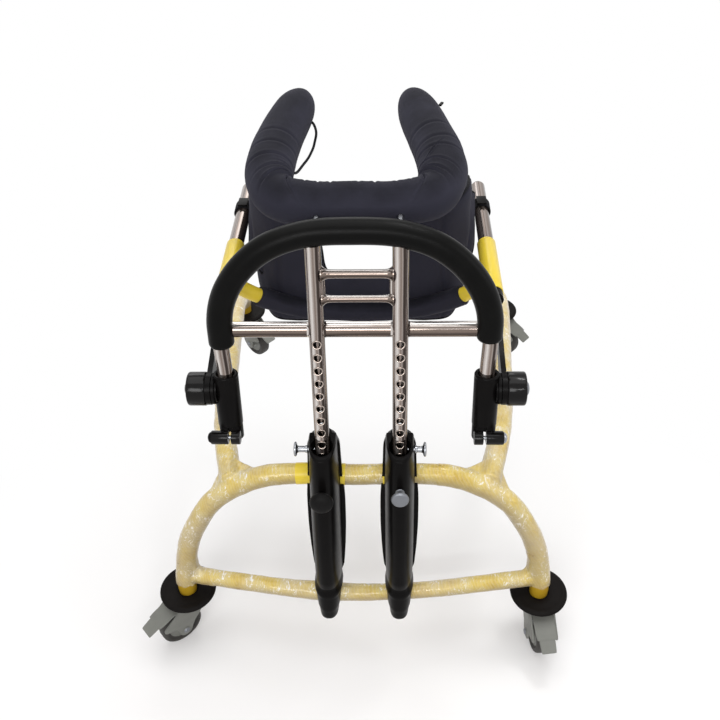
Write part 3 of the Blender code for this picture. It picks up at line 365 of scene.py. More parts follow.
def evened(made, voxel):
    """Adds a remesh to even cells of this size, to be applied later."""
    remesh = made.modifiers.new("even", "REMESH")
    remesh.mode = "VOXEL"
    remesh.voxel_size = voxel
    remesh.use_smooth_shade = True


def joined(name, parts):
    """One object that holds all the parts, which are removed."""
    bm = bmesh.new()
    for part in parts:
        bm.from_mesh(part.data)
    data = parts[0].data.copy()
    bm.to_mesh(data)
    bm.free()
    for part in parts:
        bpy.data.objects.remove(part)
    data.name = name
    return linked(name, data)


def dress(made, look):
    made.data.materials.clear()
    made.data.materials.append(LOOKS[look])


def place(made, body, slot, *stands_for):
    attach(made, body)
    if stands_for:
        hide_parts(*stands_for)


class Nodes:
    """Adds nodes to a tree. A call that makes a value returns its output socket."""

    def __init__(self, tree):
        self.tree = tree

    def fill(self, socket, value):
        """Links another node's output to the socket, or sets the socket to a plain value."""
        if hasattr(value, "is_output"):
            self.tree.links.new(value, socket)
        else:
            socket.default_value = value

    def node(self, kind, **inputs):
        made = self.tree.nodes.new(kind)
        for key, value in inputs.items():
            self.fill(made.inputs[key.replace("_", " ")], value)
        return made

    def math(self, kind, a, b=0.0):
        made = self.node("ShaderNodeMath")
        made.operation = kind
        self.fill(made.inputs[0], a)
        self.fill(made.inputs[1], b)
        return made.outputs[0]

    def axis(self, coordinates, letter):
        """One axis of the texture coordinates of this kind."""
        spot = self.node("ShaderNodeTexCoord").outputs[coordinates]
        return self.node("ShaderNodeSeparateXYZ", Vector=spot).outputs[letter]

    def ramp(self, source, *stops):
        made = self.node("ShaderNodeValToRGB", Fac=source)
        elements = made.color_ramp.elements
        while len(elements) < len(stops):
            elements.new(0.5)
        for element, (position, value) in zip(elements, stops):
            element.position = position
            if isinstance(value, float):
                value = (value, value, value)
            element.color = (*value, 1.0)
        return made.outputs["Color"]

    def seen(self):
        """1 for what the camera, mirrors and glass see, and 0 for light on the object."""
        rays = self.node("ShaderNodeLightPath").outputs
        seen = self.math("MAXIMUM", rays["Is Camera Ray"], rays["Is Glossy Ray"])
        return self.math("MAXIMUM", seen, rays["Is Transmission Ray"])

    def show(self, share, first, second, end):
        """Links a mix of two shaders to the node at the tree's end."""
        made = self.node("ShaderNodeMixShader", Fac=share)
        self.fill(made.inputs[1], first.outputs[0])
        self.fill(made.inputs[2], second.outputs[0])
        self.fill(self.tree.nodes[end].inputs["Surface"], made.outputs[0])


class Look(Nodes):
    """The nodes of one material, round its shader."""

    def __init__(self, name, colour, roughness, **more):
        self.material = bpy.data.materials.new(name)
        self.material.use_nodes = True
        super().__init__(self.material.node_tree)
        self.shader = self.tree.nodes["Principled BSDF"]
        more.update(Base_Color=(*colour, 1.0), Roughness=roughness)
        for key, value in more.items():
            self.fill(self.shader.inputs[key.replace("_", " ")], value)

    def where(self, scale=(1, 1, 1), turn=(0, 0, 0), shift=(0, 0, 0)):
        spot = self.node("ShaderNodeTexCoord").outputs["Object"]
        made = self.node("ShaderNodeMapping", Vector=spot, Location=shift, Rotation=turn,
                         Scale=scale)
        return made.outputs["Vector"]

    def noise(self, where, scale, detail=3.0, roughness=0.5, distortion=0.0):
        made = self.node("ShaderNodeTexNoise", Vector=where, Scale=scale, Detail=detail,
                         Roughness=roughness, Distortion=distortion)
        return made.outputs["Fac"]

    def wave(self, where, scale, distortion, detail=2.0, roughness=0.5, bands="X"):
        made = self.node("ShaderNodeTexWave", Vector=where, Scale=scale, Distortion=distortion,
                         Detail=detail, Detail_Scale=1.0, Detail_Roughness=roughness)
        made.bands_direction = bands
        return made.outputs["Fac"]

    def span(self, source, low, high, start=0.0, end=1.0):
        made = self.node("ShaderNodeMapRange", Value=source, From_Min=start, From_Max=end,
                         To_Min=low, To_Max=high)
        return made.outputs["Result"]

    def blend(self, share, a, b):
        made = self.node("ShaderNodeMix")
        made.data_type = "RGBA"
        for number, value in ((0, share), (6, a), (7, b)):
            self.fill(made.inputs[number], (*value, 1.0) if isinstance(value, tuple) else value)
        return made.outputs[2]

    def colour(self, source):
        self.fill(self.shader.inputs["Base Color"], source)

    def rough(self, source):
        self.fill(self.shader.inputs["Roughness"], source)

    def bump(self, height, distance, strength=1.0):
        """Adds a bump on top of those before it."""
        made = self.node("ShaderNodeBump", Strength=strength, Distance=distance, Height=height)
        normal = self.shader.inputs["Normal"]
        if normal.is_linked:
            self.fill(made.inputs["Normal"], normal.links[0].from_socket)
        self.fill(normal, made.outputs["Normal"])


# Colours of the plating with painted reflections in them, from its darkest reflected stripes to
# its brightest
REFLECTION_DARKEST, REFLECTION_BROWN = (0.045, 0.033, 0.028), (0.2, 0.155, 0.13)
REFLECTION_PALE, REFLECTION_BRIGHTEST = (0.36, 0.31, 0.285), (0.7, 0.66, 0.63)


def moulded(name, dark, pale, rough, spotty, fine, depth=0.0002, strength=0.3, **more):
    """A plain moulded or painted surface: two near shades, uneven gloss and a fine grain."""
    look = Look(name, dark, rough[0], **more)
    spread = look.where()
    look.colour(look.blend(look.noise(spread, spotty, 4.0), dark, pale))
    look.rough(look.span(look.noise(spread, spotty * 2.3), *rough))
    look.bump(look.noise(spread, fine, 2.0), depth, strength)
    return look.material


def chrome_painted_reflections(name, axis, *stops):
    """Bright plating with painted reflections: long light and dark stripes, set by which way the
    surface faces.
    """
    look = Look(name, (0.6, 0.53, 0.49), 0.08, Metallic=0.84)
    reflection_stripe = look.span(look.axis("Normal", axis), 0.0, 1.0, -1.0, 1.0)
    reflection_stripe = look.math("ADD", reflection_stripe, look.span(look.noise(look.where(), 14.0), -0.05, 0.05))
    # Painted reflections: the ramp turns the facing into light and dark stripes of colour
    look.colour(look.ramp(reflection_stripe, *stops))
    look.rough(look.span(look.noise(look.where(), 55.0), 0.05, 0.16))
    look.bump(look.noise(look.where(), 260.0), 0.0003, 0.06)
    return look.material


def film_look():
    """Yellow paint seen through wound packing film, hazy, ridged and creased, with painted shade
    where the film faces sideways and painted white highlight streaks on its upper faces.
    """
    look = Look("wrapped_yellow", (0.6, 0.44, 0.12), 0.3, Coat_Weight=0.5,
                Coat_Roughness=0.1, Specular_IOR_Level=0.35, Sheen_Weight=0.45,
                Sheen_Roughness=0.3, Sheen_Tint=(0.88, 0.82, 0.8, 1.0))
    spread = look.where()
    blotch = look.noise(spread, 26.0, 4.0, 0.6)
    body = look.ramp(blotch, (0.3, (0.6, 0.41, 0.06)), (0.46, (0.74, 0.56, 0.12)),
                     (0.58, (0.76, 0.62, 0.22)), (0.74, (0.76, 0.67, 0.4)))
    ridges = look.wave(look.where((1, 1, 1), (0.4, 0.5, 0.3)), 66.0, 6.5, 5.0, 0.7)
    fine = look.wave(look.where((1, 1, 1), (0.9, 0.1, 0.8)), 125.0, 8.0, 5.0, 0.7)
    body = look.blend(look.span(ridges, 0.0, 0.26, 0.45), body, (0.8, 0.7, 0.46))
    body = look.blend(look.span(fine, 0.0, 0.16, 0.4), body, (0.46, 0.31, 0.08))
    haze = look.ramp(look.noise(spread, 11.0, 2.0), (0.46, 0.0), (0.66, 0.5))
    body = look.blend(haze, body, (0.66, 0.57, 0.43))
    # Painted highlights: short near-white streaks in patches, kept off the faces that turn
    # sideways
    highlight_streak = look.noise(look.where((120.0, 38.0, 80.0), (0.3, 0.9, 0.5)), 1.0, 5.0, 0.75, 2.2)
    highlight_streak = look.ramp(highlight_streak, (0.555, 0.0), (0.6, 1.0))
    highlight_patch = look.ramp(look.noise(spread, 26.0, 2.0), (0.46, 0.0), (0.55, 1.0))
    # Painted shade: the film is darkened towards brown where its surface faces sideways or down
    side = look.span(look.axis("Normal", "Z"), 0.62, 0.0, 0.0, 0.8)
    body = look.blend(side, body, (0.27, 0.205, 0.115))
    highlight_streak = look.math("MULTIPLY", highlight_streak, look.math("SUBTRACT", 1.0, side))
    look.colour(look.blend(look.math("MULTIPLY", highlight_streak, highlight_patch), body, (0.97, 0.96, 0.93)))
    look.rough(look.span(blotch, 0.2, 0.42))
    creases = look.noise(look.where((70.0, 160.0, 70.0), (0.5, 0.2, 0.8)), 1.0, 5.0, 0.6, 1.5)
    look.bump(ridges, 0.0009, 0.35)
    look.bump(creases, 0.0022, 0.75)
    return look.material


def fabric_look():
    """Close black weave: a fine twill, a slow change of tone, small soft folds, and painted shade
    that darkens the faces turned up and lightens those turned to the side.
    """
    dark, pale = (0.0105, 0.0105, 0.0155), (0.027, 0.027, 0.04)
    look = Look("black_fabric", dark, 0.85, Specular_IOR_Level=0.12, Sheen_Weight=0.04,
                Sheen_Roughness=0.5, Sheen_Tint=(0.55, 0.55, 0.65, 1.0))
    spread = look.where()
    threads = look.noise(look.where((1, 1, 1), (0.2, 0.6, 0.8)), 1500.0, 2.0, 0.6)
    shade = look.math("ADD", look.math("MULTIPLY", look.noise(spread, 22.0, 4.0), 0.7),
                      look.math("MULTIPLY", threads, 0.3))
    # Painted shade and light: faces turned up are painted darker, faces turned to the side
    # lighter
    shade = look.math("ADD", look.span(shade, -0.5, 0.5, 0.3, 0.7),
                      look.span(look.axis("Normal", "Z"), 1.4, 0.1, 0.35, 0.95))
    look.colour(look.blend(look.span(shade, 0.0, 1.0, 0.0, 1.2), dark, pale))
    look.bump(threads, 0.0003, 0.5)
    look.bump(look.noise(spread, 42.0, 4.0, 0.5), 0.0022, 0.3)
    return look.material


def webbing_look():
    """Black webbing with fine ribs."""
    look = Look("webbing", (0.012, 0.012, 0.014), 0.7, Specular_IOR_Level=0.06)
    look.bump(look.wave(look.where(), 330.0, 0.3, bands="Z"), 0.0005, 0.6)
    look.bump(look.noise(look.where(), 900.0), 0.0003, 0.5)
    return look.material


def make_looks():
    black = {"Specular_IOR_Level": 0.06}
    ink = (0.003, 0.0027, 0.0029), (0.0052, 0.0046, 0.0044)
    return {
        "paint": moulded("yellow_paint", (0.84, 0.62, 0.042), (0.88, 0.69, 0.058), (0.26, 0.4),
                         40.0, 800.0, Specular_IOR_Level=0.3, Coat_Weight=0.05),
        "amber": moulded("amber_paint", (0.42, 0.25, 0.012), (0.55, 0.36, 0.025), (0.24, 0.4),
                         50.0, 700.0, Specular_IOR_Level=0.3),
        "film": film_look(),
        "chrome": chrome_painted_reflections("chrome", "X", (0.0, REFLECTION_DARKEST), (0.06, REFLECTION_BROWN), (0.14, REFLECTION_PALE),
                              (0.3, REFLECTION_BRIGHTEST), (0.42, REFLECTION_PALE), (0.52, REFLECTION_BROWN), (0.62, REFLECTION_PALE),
                              (0.68, REFLECTION_DARKEST), (0.8, REFLECTION_DARKEST), (0.88, REFLECTION_PALE), (0.95, REFLECTION_BROWN),
                              (1.0, REFLECTION_DARKEST)),
        "chrome_across": chrome_painted_reflections("chrome_across", "Z", (0.12, REFLECTION_PALE), (0.3, REFLECTION_BROWN),
                                     (0.48, REFLECTION_DARKEST), (0.66, REFLECTION_BROWN), (0.78, REFLECTION_BROWN),
                                     (0.84, REFLECTION_PALE), (0.91, REFLECTION_BROWN), (0.98, REFLECTION_BRIGHTEST)),
        "chrome_back": chrome_painted_reflections("chrome_back", "X", (0.0, REFLECTION_DARKEST), (0.1, REFLECTION_BROWN),
                                   (0.25, REFLECTION_PALE), (0.4, REFLECTION_DARKEST), (0.52, REFLECTION_BROWN),
                                   (0.6, REFLECTION_PALE), (0.72, REFLECTION_BROWN), (1.0, REFLECTION_DARKEST)),
        "rim": moulded("hole_rim", (0.4, 0.33, 0.29), (0.52, 0.45, 0.4), (0.16, 0.28), 300.0,
                       900.0, Metallic=1.0),
        "steel": moulded("zinc_steel", (0.27, 0.28, 0.3), (0.4, 0.41, 0.43), (0.18, 0.34),
                         90.0, 700.0, Metallic=1.0),
        "button": moulded("button_steel", (0.17, 0.18, 0.2), (0.22, 0.23, 0.25), (0.34, 0.46),
                          120.0, 900.0, Metallic=0.6),
        "foam": moulded("black_foam", (0.003, 0.003, 0.003), (0.0055, 0.0055, 0.0052),
                        (0.26, 0.4), 45.0, 1100.0, 0.0003, 0.35, **black),
        "plastic": moulded("black_plastic", *ink, (0.24, 0.38), 60.0, 300.0, 0.0002, 0.15,
                           **black),
        "gloss": moulded("glossy_black", *ink, (0.12, 0.2), 60.0, 300.0, 0.0002, 0.1,
                         Specular_IOR_Level=0.17),
        "satin": moulded("satin_rubber", (0.0065, 0.0065, 0.0065), (0.0095, 0.009, 0.009),
                         (0.42, 0.54), 70.0, 700.0, **black),
        "rubber": moulded("bumper_rubber", (0.005, 0.0042, 0.004), (0.009, 0.0076, 0.007),
                          (0.42, 0.6), 70.0, 900.0, 0.0003, 0.35, **black),
        "tyre": moulded("tyre", (0.034, 0.032, 0.03), (0.056, 0.053, 0.049), (0.5, 0.66),
                        120.0, 900.0, 0.0003, 0.4, Specular_IOR_Level=0.3),
        "grey": moulded("caster_grey", (0.155, 0.16, 0.145), (0.205, 0.21, 0.19), (0.36, 0.5),
                        60.0, 700.0, Specular_IOR_Level=0.35),
        "cloth": fabric_look(),
        "webbing": webbing_look(),
    }


LOOKS = make_looks()


def smooth_shading():
    """A modifier that shades the round solids smooth and leaves their shape as it is."""
    group = bpy.data.node_groups.new("shade_smooth_by_angle", "GeometryNodeTree")
    for way in ("INPUT", "OUTPUT"):
        group.interface.new_socket("Geometry", in_out=way, socket_type="NodeSocketGeometry")
    steps = Nodes(group)
    start = steps.node("NodeGroupInput").outputs[0]
    merged = steps.node("GeometryNodeMergeByDistance", Geometry=start, Distance=1e-5)
    rounded_off = steps.node("GeometryNodeSetShadeSmooth", Geometry=merged.outputs["Geometry"])
    over = steps.node("FunctionNodeCompare")
    over.data_type = "FLOAT"
    over.operation = "GREATER_THAN"
    angle = steps.node("GeometryNodeInputMeshEdgeAngle")
    steps.fill(over.inputs[0], angle.outputs["Unsigned Angle"])
    steps.fill(over.inputs[1], math.radians(40))
    sharp = steps.node("GeometryNodeSetShadeSmooth", Geometry=rounded_off.outputs["Geometry"],
                       Selection=over.outputs[0], Shade_Smooth=False)
    sharp.domain = "EDGE"
    end = steps.node("NodeGroupOutput")
    steps.fill(end.inputs[0], sharp.outputs["Geometry"])
    for node in nodes.values():
        node.modifiers.new("smooth", "NODES").node_group = group


# The looks of the solids that show, by the start of their names
NODE_LOOKS = {"pelvic_arm_": "plastic", "axle_bolt_": "button", "cushion_frame": "steel"}


def dress_nodes():
    for name, node in nodes.items():
        for start, look in NODE_LOOKS.items():
            if name.startswith(start):
                dress(node, look)


def arch_path():
    shape = (
        (0.0, 0.992), (0.303, 1.0), (0.487, 0.98), (0.643, 0.905), (0.787, 0.777),
        (0.877, 0.62), (0.95, 0.43), (0.985, 0.24), (1.0, 0.06), (1.0, 0.0),
    )
    half = []
    for across, up in shape:
        z = mix(LEG_FOOT, ARCH_TOP_Z, up)
        half.append((TRACK_HALF * across, LEAN * (z - DISC_TOP) if up > 0.1 else 0.0, z))
    return shifted(smooth(mirrored(half), 8))


def crossbar_path():
    foot_y = LEAN * (CROSSBAR_Z - DISC_TOP)
    half = [
        (0.0, foot_y - CROSSBAR_BOW, CROSSBAR_Z),
        (TRACK_HALF / 3, foot_y - CROSSBAR_BOW * 0.86, CROSSBAR_Z),
        (TRACK_HALF * 0.7, foot_y - CROSSBAR_BOW * 0.42, CROSSBAR_Z - 0.003),
        (TRACK_HALF - 0.004, foot_y, CROSSBAR_Z - 0.007),
    ]
    return shifted(smooth(mirrored(half), 8))


def rail_path(side):
    start_z = ARCH_TOP_Z - 0.016
    start_y = LEAN * (start_z - DISC_TOP)
    shape = (
        (0.0, 0.0, 1.0), (0.24, 0.12, 0.93), (0.46, 0.28, 0.76), (0.68, 0.52, 0.47),
        (0.88, 0.76, 0.2), (0.97, 0.9, 0.06),
    )
    points = [(side * mix(RAIL_START_X, TRACK_HALF, out), mix(start_y, WHEELBASE, back),
               mix(RAIL_REAR_Z, start_z, up)) for out, back, up in shape]
    points += [(side * TRACK_HALF, WHEELBASE - 0.012, RAIL_REAR_Z - 0.022),
               (side * TRACK_HALF, WHEELBASE, mix(LEG_FOOT, RAIL_REAR_Z, 0.34)),
               (side * TRACK_HALF, WHEELBASE, LEG_FOOT)]
    return shifted(smooth(points, 8))


def film_radius(radius, seed, stretches):
    """The radius of wound film, with its thickness given at some lengths along the tube."""
    def found(run, angle):
        thick = stretches[-1][1]
        for (start, a), (end, b) in zip(stretches, stretches[1:]):
            if run < end:
                thick = mix(a, b, min(1.0, max(0.0, (run - start) / (end - start))))
                break
        coarse = Vector((math.cos(angle) * 1.3, math.sin(angle) * 1.3, run * 34 + seed))
        fine = Vector((math.cos(angle) * 2.6, math.sin(angle) * 2.6, run * 130 + seed))
        uneven = noise.noise(coarse) + 0.45 * noise.noise(fine)
        return radius + thick + (0.00035 + 0.22 * thick) * uneven
    return found


def wrapped_tube(name, node, path, radius, feet, seed, thickness):
    """A bare painted tube from end to end, and the film round all but its feet."""
    sides = 40
    bare = sweep(name, path, radius - 0.0002, sides, "amber", caps=False)
    start, end = feet[0], lengths_along(path)[-1] - feet[1]
    stretches = [(share * (end - start), thick) for share, thick in thickness]
    film_path = evenly(path, start, end, 0.004)
    film = sweep(name + "_film", film_path, film_radius(radius, seed, stretches), sides, "film",
                 caps=False)
    last = len(film_path) - 1
    for row in (0, 1, last - 1, last):
        back = direction(film_path, row).normalized()
        for j in range(sides):
            jag = noise.noise(Vector((j * 0.45, row * 0.1, seed * 3.7)))
            film.data.vertices[row * sides + j].co += back * jag * 0.004
    place(bare, "base", "yellow_paint", node)
    place(film, "base", "yellow_paint")


def hull(name, *tubes):
    """The convex hull of round tubes."""
    bm = bmesh.new()
    for path, radius in tubes:
        for point, side, up in frames_along(path):
            for across, rise in circle(18):
                bm.verts.new(point + (side * across + up * rise) * radius)
    bmesh.ops.convex_hull(bm, input=bm.verts)
    bmesh.ops.delete(bm, geom=[v for v in bm.verts if not v.link_faces], context="VERTS")
    return object_from(name, bm)


def web(name, parts, seed, rounds):
    """Film pulled tight over a joint: the parts fused, then relaxed and a little creased."""
    made = joined(name, parts)
    evened(made, 0.0021)
    settle = made.modifiers.new("settle", "SMOOTH")
    settle.iterations = rounds
    settle.factor = 0.6
    applied(made)
    for vertex in made.data.vertices:
        spot = vertex.co * 75 + Vector((seed, 0, 0))
        vertex.co += vertex.normal * (0.0006 * noise.noise(spot) + 0.0004)
    dress(made, "film")
    place(made, "base", "yellow_paint")


def joint_films(arch, bar):
    """The film over each rail's joint with the arch and each end of the crossbar."""
    arch_run, bar_length = lengths_along(arch), lengths_along(bar)[-1]
    film, step = TUBE_RADIUS + FILM_THICKNESS, 0.006

    def arch_part(side, near, start, end):
        """The arch between two lengths, measured inward from its point nearest to another."""
        corner = arch_run[min(range(len(arch)), key=lambda i: (arch[i] - near).length)]
        return evenly(arch, *sorted((corner - side * start, corner - side * end)), step)

    def bar_part(side, reach, pitch):
        """This much of the crossbar from its end."""
        ends = (0.0, reach) if side < 0 else (bar_length - reach, bar_length)
        return evenly(bar, *ends, pitch)

    def leg_part(side, reach):
        """The arch's leg from the crossbar's height up by this reach."""
        return [p for p in arch if p.x * side > 0.2 and 0.0 < p.z - CROSSBAR_Z < reach]

    for word, side in SIDES.items():
        rail = rail_path(side)
        parts = [
            sweep("arch_part", arch_part(side, rail[0], -0.05, 0.084), film),
            sweep("rail_part", evenly(rail, 0.0, 0.062, step), film + 0.0008),
        ]
        reaches = ((0.05, 0.05, 0.009), (0.078, 0.03, 0.008), (0.03, 0.062, 0.008),
                   (-0.04, 0.034, 0.014))
        for along_arch, along_rail, thick in reaches:
            parts.append(hull("fill", (arch_part(side, rail[0], 0.0, along_arch), thick),
                              (evenly(rail, 0.0, along_rail, 0.01), thick)))
        web(f"film_web_{word}", parts, 4.0 + side, 12)
        leg = arch_part(side, bar[0 if side < 0 else -1], -0.012, 0.066)
        parts = [
            sweep("leg_part", leg, film),
            sweep("bar_part", bar_part(side, 0.052, step), CROSSBAR_RADIUS + 0.0014, 36),
            hull("fill", (leg_part(side, 0.03), 0.008), (bar_part(side, 0.034, 0.008), 0.009)),
            hull("rise", (leg_part(side, 0.062), 0.011), (bar_part(side, 0.02, 0.008), 0.009)),
        ]
        web(f"film_gusset_{word}", parts, 7.0 + side, 10)


def build_base():
    arch, bar = arch_path(), crossbar_path()
    leg, thin = 0.0021, 0.0009
    wrapped_tube("arch_tube", "front_arch", arch, TUBE_RADIUS, (0.024, 0.026), 1.0,
                 ((0.0, leg), (0.3, leg * 0.8), (0.42, thin), (0.58, thin), (0.7, leg * 0.7),
                  (1.0, leg)))
    wrapped_tube("crossbar_tube", "lower_crossbar", bar, CROSSBAR_RADIUS, (0.02, 0.02), 2.0,
                 ((0.0, 0.001), (0.28, 0.0016), (0.39, 0.0036), (0.43, 0.003), (0.48, 0.0014),
                  (0.62, 0.0008), (1.0, 0.0016)))
    for word, side in SIDES.items():
        wrapped_tube(f"rail_tube_{word}", f"side_rail_{word}", rail_path(side), TUBE_RADIUS,
                     (0.004, 0.026), 3.0 + side,
                     ((0.0, 0.0026), (0.25, 0.003), (0.6, 0.0022), (1.0, 0.0016)))
    joint_films(arch, bar)
    bands = (("bare_band", -0.0985, -0.076), ("bare_band_inner", -0.029, -0.0215),
             ("bare_band_right", 0.037, 0.04))
    middle = lengths_along(arch)[-1] / 2
    for name, start, end in bands:
        band_path = evenly(arch, middle + start, middle + end, 0.002)
        band = sweep(name, band_path, TUBE_RADIUS + FILM_THICKNESS, 44, "paint")
        place(band, "base", "yellow_paint")


def bumper_discs():
    top, bottom, lip = DISC_TOP, DISC_BOTTOM, 0.0036
    profile = [(TUBE_RADIUS + 0.0012, top - 0.0045), (TUBE_RADIUS + 0.0014, top - 0.0006),
               (TUBE_RADIUS + 0.0024, top), (0.03, top - 0.0007), (0.0385, top - 0.0004)]
    profile += [(0.0405 + 0.0028 * math.sin(a), top + 0.0004 * math.cos(a))
                for a in (0.2, 0.7, 1.1)]
    for i in range(9):
        angle = math.pi * (0.5 - i / 8)
        profile.append((DISC_RADIUS - lip + lip * math.cos(angle),
                        (top + bottom) / 2 + lip * math.sin(angle)))
    profile += [(0.04, bottom), (0.0064, bottom), (0.0064, top - 0.0045)]
    for name, (x, y, _) in CORNERS.items():
        disc = lathe(f"bumper_disc_{name}", profile, at(x, y, 0.0), UP, "rubber", 72, True)
        place(disc, "base", "bumper_rubber", f"bumper_{name}")


def cheek_outline():
    """The side of a caster fork: crown, a tapering leg to the axle, and the brake's lever."""
    outline = [(-0.0205, CROWN_TOP), (-0.021, 0.096), (-0.015, 0.08), (-0.001, 0.061),
               (0.012, 0.048)]
    for degrees in range(195, 346, 15):
        angle = math.radians(degrees)
        outline.append((TRAIL + 0.0125 * math.cos(angle), AXLE_Z + 0.0125 * math.sin(angle)))
    lever = ((0.013, 0.005), (0.015, 0.015), (0.024, 0.0185), (0.034, 0.022),
             (0.0368, 0.025), (0.037, 0.0295), (0.034, 0.0335))
    outline += [(TRAIL + out, AXLE_Z + up) for out, up in lever]
    return outline + [(TRAIL + 0.012, CROWN_BOTTOM - 0.006), (0.0215, CROWN_TOP)]


def fork(name, x, y, lateral, turn):
    cheeks = CHEEK_GAP / 2 + CHEEK_WALL / 2
    rivet = [(0.0068, -0.001), (0.0068, 0.0005), (0.0062, 0.0009), (0.005, 0.0009),
             (0.0048, -0.001)]
    parts = []
    for way in (-1, 1):
        spot = turn @ Matrix.Translation((0, 0, way * cheeks))
        parts.append(plate("cheek", cheek_outline(), CHEEK_WALL, spot, "grey"))
        boss = turn @ Vector((TRAIL, AXLE_Z, way * (cheeks + CHEEK_WALL / 2)))
        parts.append(lathe("boss", rivet, boss, lateral * way, "grey", 32, True))
    crown = turn @ Vector((0.0005, (CROWN_BOTTOM + CROWN_TOP) / 2, 0))
    size = (0.042, CROWN_TOP - CROWN_BOTTOM, CHEEK_GAP + 0.001)
    parts.append(block("crown", crown, size, "grey", turn.to_3x3().to_4x4(), 0.0012))
    race = [(0.006, 0.0), (0.0175, 0.0), (0.0175, -0.004), (0.006, -0.004)]
    parts.append(lathe("race", race, at(x, y, CROWN_TOP + 0.0002), UP, "grey", 40, True))
    swivel = [(0.0, -0.004), (0.006, -0.004), (0.006, 0.0215), (0.0, 0.022)]
    parts.append(lathe("swivel", swivel, at(x, y, CROWN_TOP), UP, "grey", 32))
    body = f"caster_{name}"
    place(joined(f"fork_shell_{name}", parts), body, "caster_grey", f"caster_fork_{name}")
    hinge = turn @ Vector((PEDAL_REACH, CROWN_BOTTOM - 0.007, 0))
    pin = [(0.0, -0.0178), (0.0016, -0.0176), (0.0018, -0.017), (0.0018, 0.017),
           (0.0016, 0.0176), (0.0, 0.0178)]
    place(lathe(f"pedal_hinge_{name}", pin, hinge, lateral, "steel", 20), body, "steel")


def roller(name, centre, lateral):
    hub = ((0.0045, 0.0176), (0.0082, 0.0176), (0.009, 0.0168), (0.01, 0.0098),
           (0.013, 0.0088), (0.0225, 0.0088), (0.024, 0.0094), (0.0252, 0.0092),
           (0.0256, 0.006))
    tyre = ((0.0257, 0.0052), (0.0262, 0.0086), (0.0285, 0.009), (0.03, 0.0112),
            (0.032, 0.012), (0.0345, 0.0116), (0.0366, 0.0096), (0.0376, 0.0066),
            (0.0378, 0.003))

    def turned(word, half, look, steps):
        profile = list(half) + [(radius, -height) for radius, height in reversed(half)]
        return lathe(f"{word}_{name}", profile, centre, lateral, look, steps, True)

    place(turned("wheel_hub", hub, "grey", 56), f"roller_{name}", "caster_grey")
    place(turned("tyre", tyre, "tyre", 72), f"roller_{name}", "tyre", f"wheel_{name}")


def pedal(name, heading, lateral, turn):
    """The brake pedal: a thick bent plate with rounded rims that narrows towards its tip."""
    slope = math.radians(18.0)
    along = heading * math.cos(slope) - UP * math.sin(slope)
    up = lateral.cross(along)
    up = -up if up.z < 0 else up
    pivot = turn @ Vector((PEDAL_REACH, CROWN_BOTTOM - 0.0085, 0))
    rows = smooth([(-0.004, -0.001, 0.96), (-0.002, -0.0002, 1.0), (0.004, 0.0005, 1.0),
                   (0.022, 0.0003, 1.0), (0.029, 0.0, 0.98), (0.034, -0.0005, 0.77),
                   (0.045, -0.0018, 0.74), (0.0525, -0.003, 0.71), (0.0552, -0.0036, 0.62),
                   (0.056, -0.004, 0.45)], 3)
    sides, verts = 36, []
    for number, (reach, lift, width) in enumerate(rows):
        end = min(1.0, 0.35 + 0.25 * min(number, len(rows) - 1 - number))
        middle = pivot + along * reach + up * (lift + 0.0035)
        for cosine, sine in circle(sides):
            x, y = squared(cosine, 0.3), squared(sine, 0.55)
            lip = 0.0007 * max(0.0, abs(x) - 0.8) / 0.2 if y > 0 else 0.0
            verts.append(middle + lateral * (x * 0.0175 * width)
                         + up * (y * 0.00175 * end + lip * end))
    made = mesh_object(f"pedal_plate_{name}", verts, grid_faces(len(rows), sides), "grey")
    place(made, f"pedal_{name}", "caster_grey", f"brake_pedal_{name}")


def build_casters():
    for name, (x, y, degrees) in CORNERS.items():
        angle = math.radians(degrees)
        heading = Vector((math.cos(angle), math.sin(angle), 0.0))
        lateral = heading.cross(UP)
        turn = Matrix((heading, UP, lateral)).transposed().to_4x4()
        turn.translation = at(x, y, 0.0)
        fork(name, x, y, lateral, turn)
        roller(name, turn @ Vector((TRAIL, AXLE_Z, 0)), lateral)
        pedal(name, heading, lateral, turn)


def d_ring(x, rise, flat, bulge, half):
    """A D-shaped section across the mast: flat at one depth, bulging by another."""
    ring = []
    for i in range(HOUSING_SIDES):
        angle = math.pi * i / (HOUSING_SIDES - 1)
        depth = math.sin(angle) ** 0.8
        drop = 0.0
        if bulge < 0:
            top = max(0.0, (rise - HOUSING_TOP + 0.055) / 0.055)
            drop = 0.013 * top * top * depth ** 2
        ring.append(mast_point(x + half * squared(math.cos(angle), 0.8), rise - drop,
                               flat + bulge * depth))
    return ring


def housing_shell(name, x, rows):
    """A shell through D-shaped sections, from (share of height, flat, bulge, half width)."""
    steps, verts = 7, []
    ups = [row[0] for row in rows]
    shape = smooth([row[1:] for row in rows], steps)
    for number, (flat, bulge, half) in enumerate(shape):
        i = min(number // steps, len(ups) - 2)
        up = mix(ups[i], ups[i + 1], number / steps - i)
        verts += d_ring(x, mix(HOUSING_TIP, HOUSING_TOP, up), flat, bulge, half)
    return mesh_object(name, verts, grid_faces(len(shape), HOUSING_SIDES), "plastic")


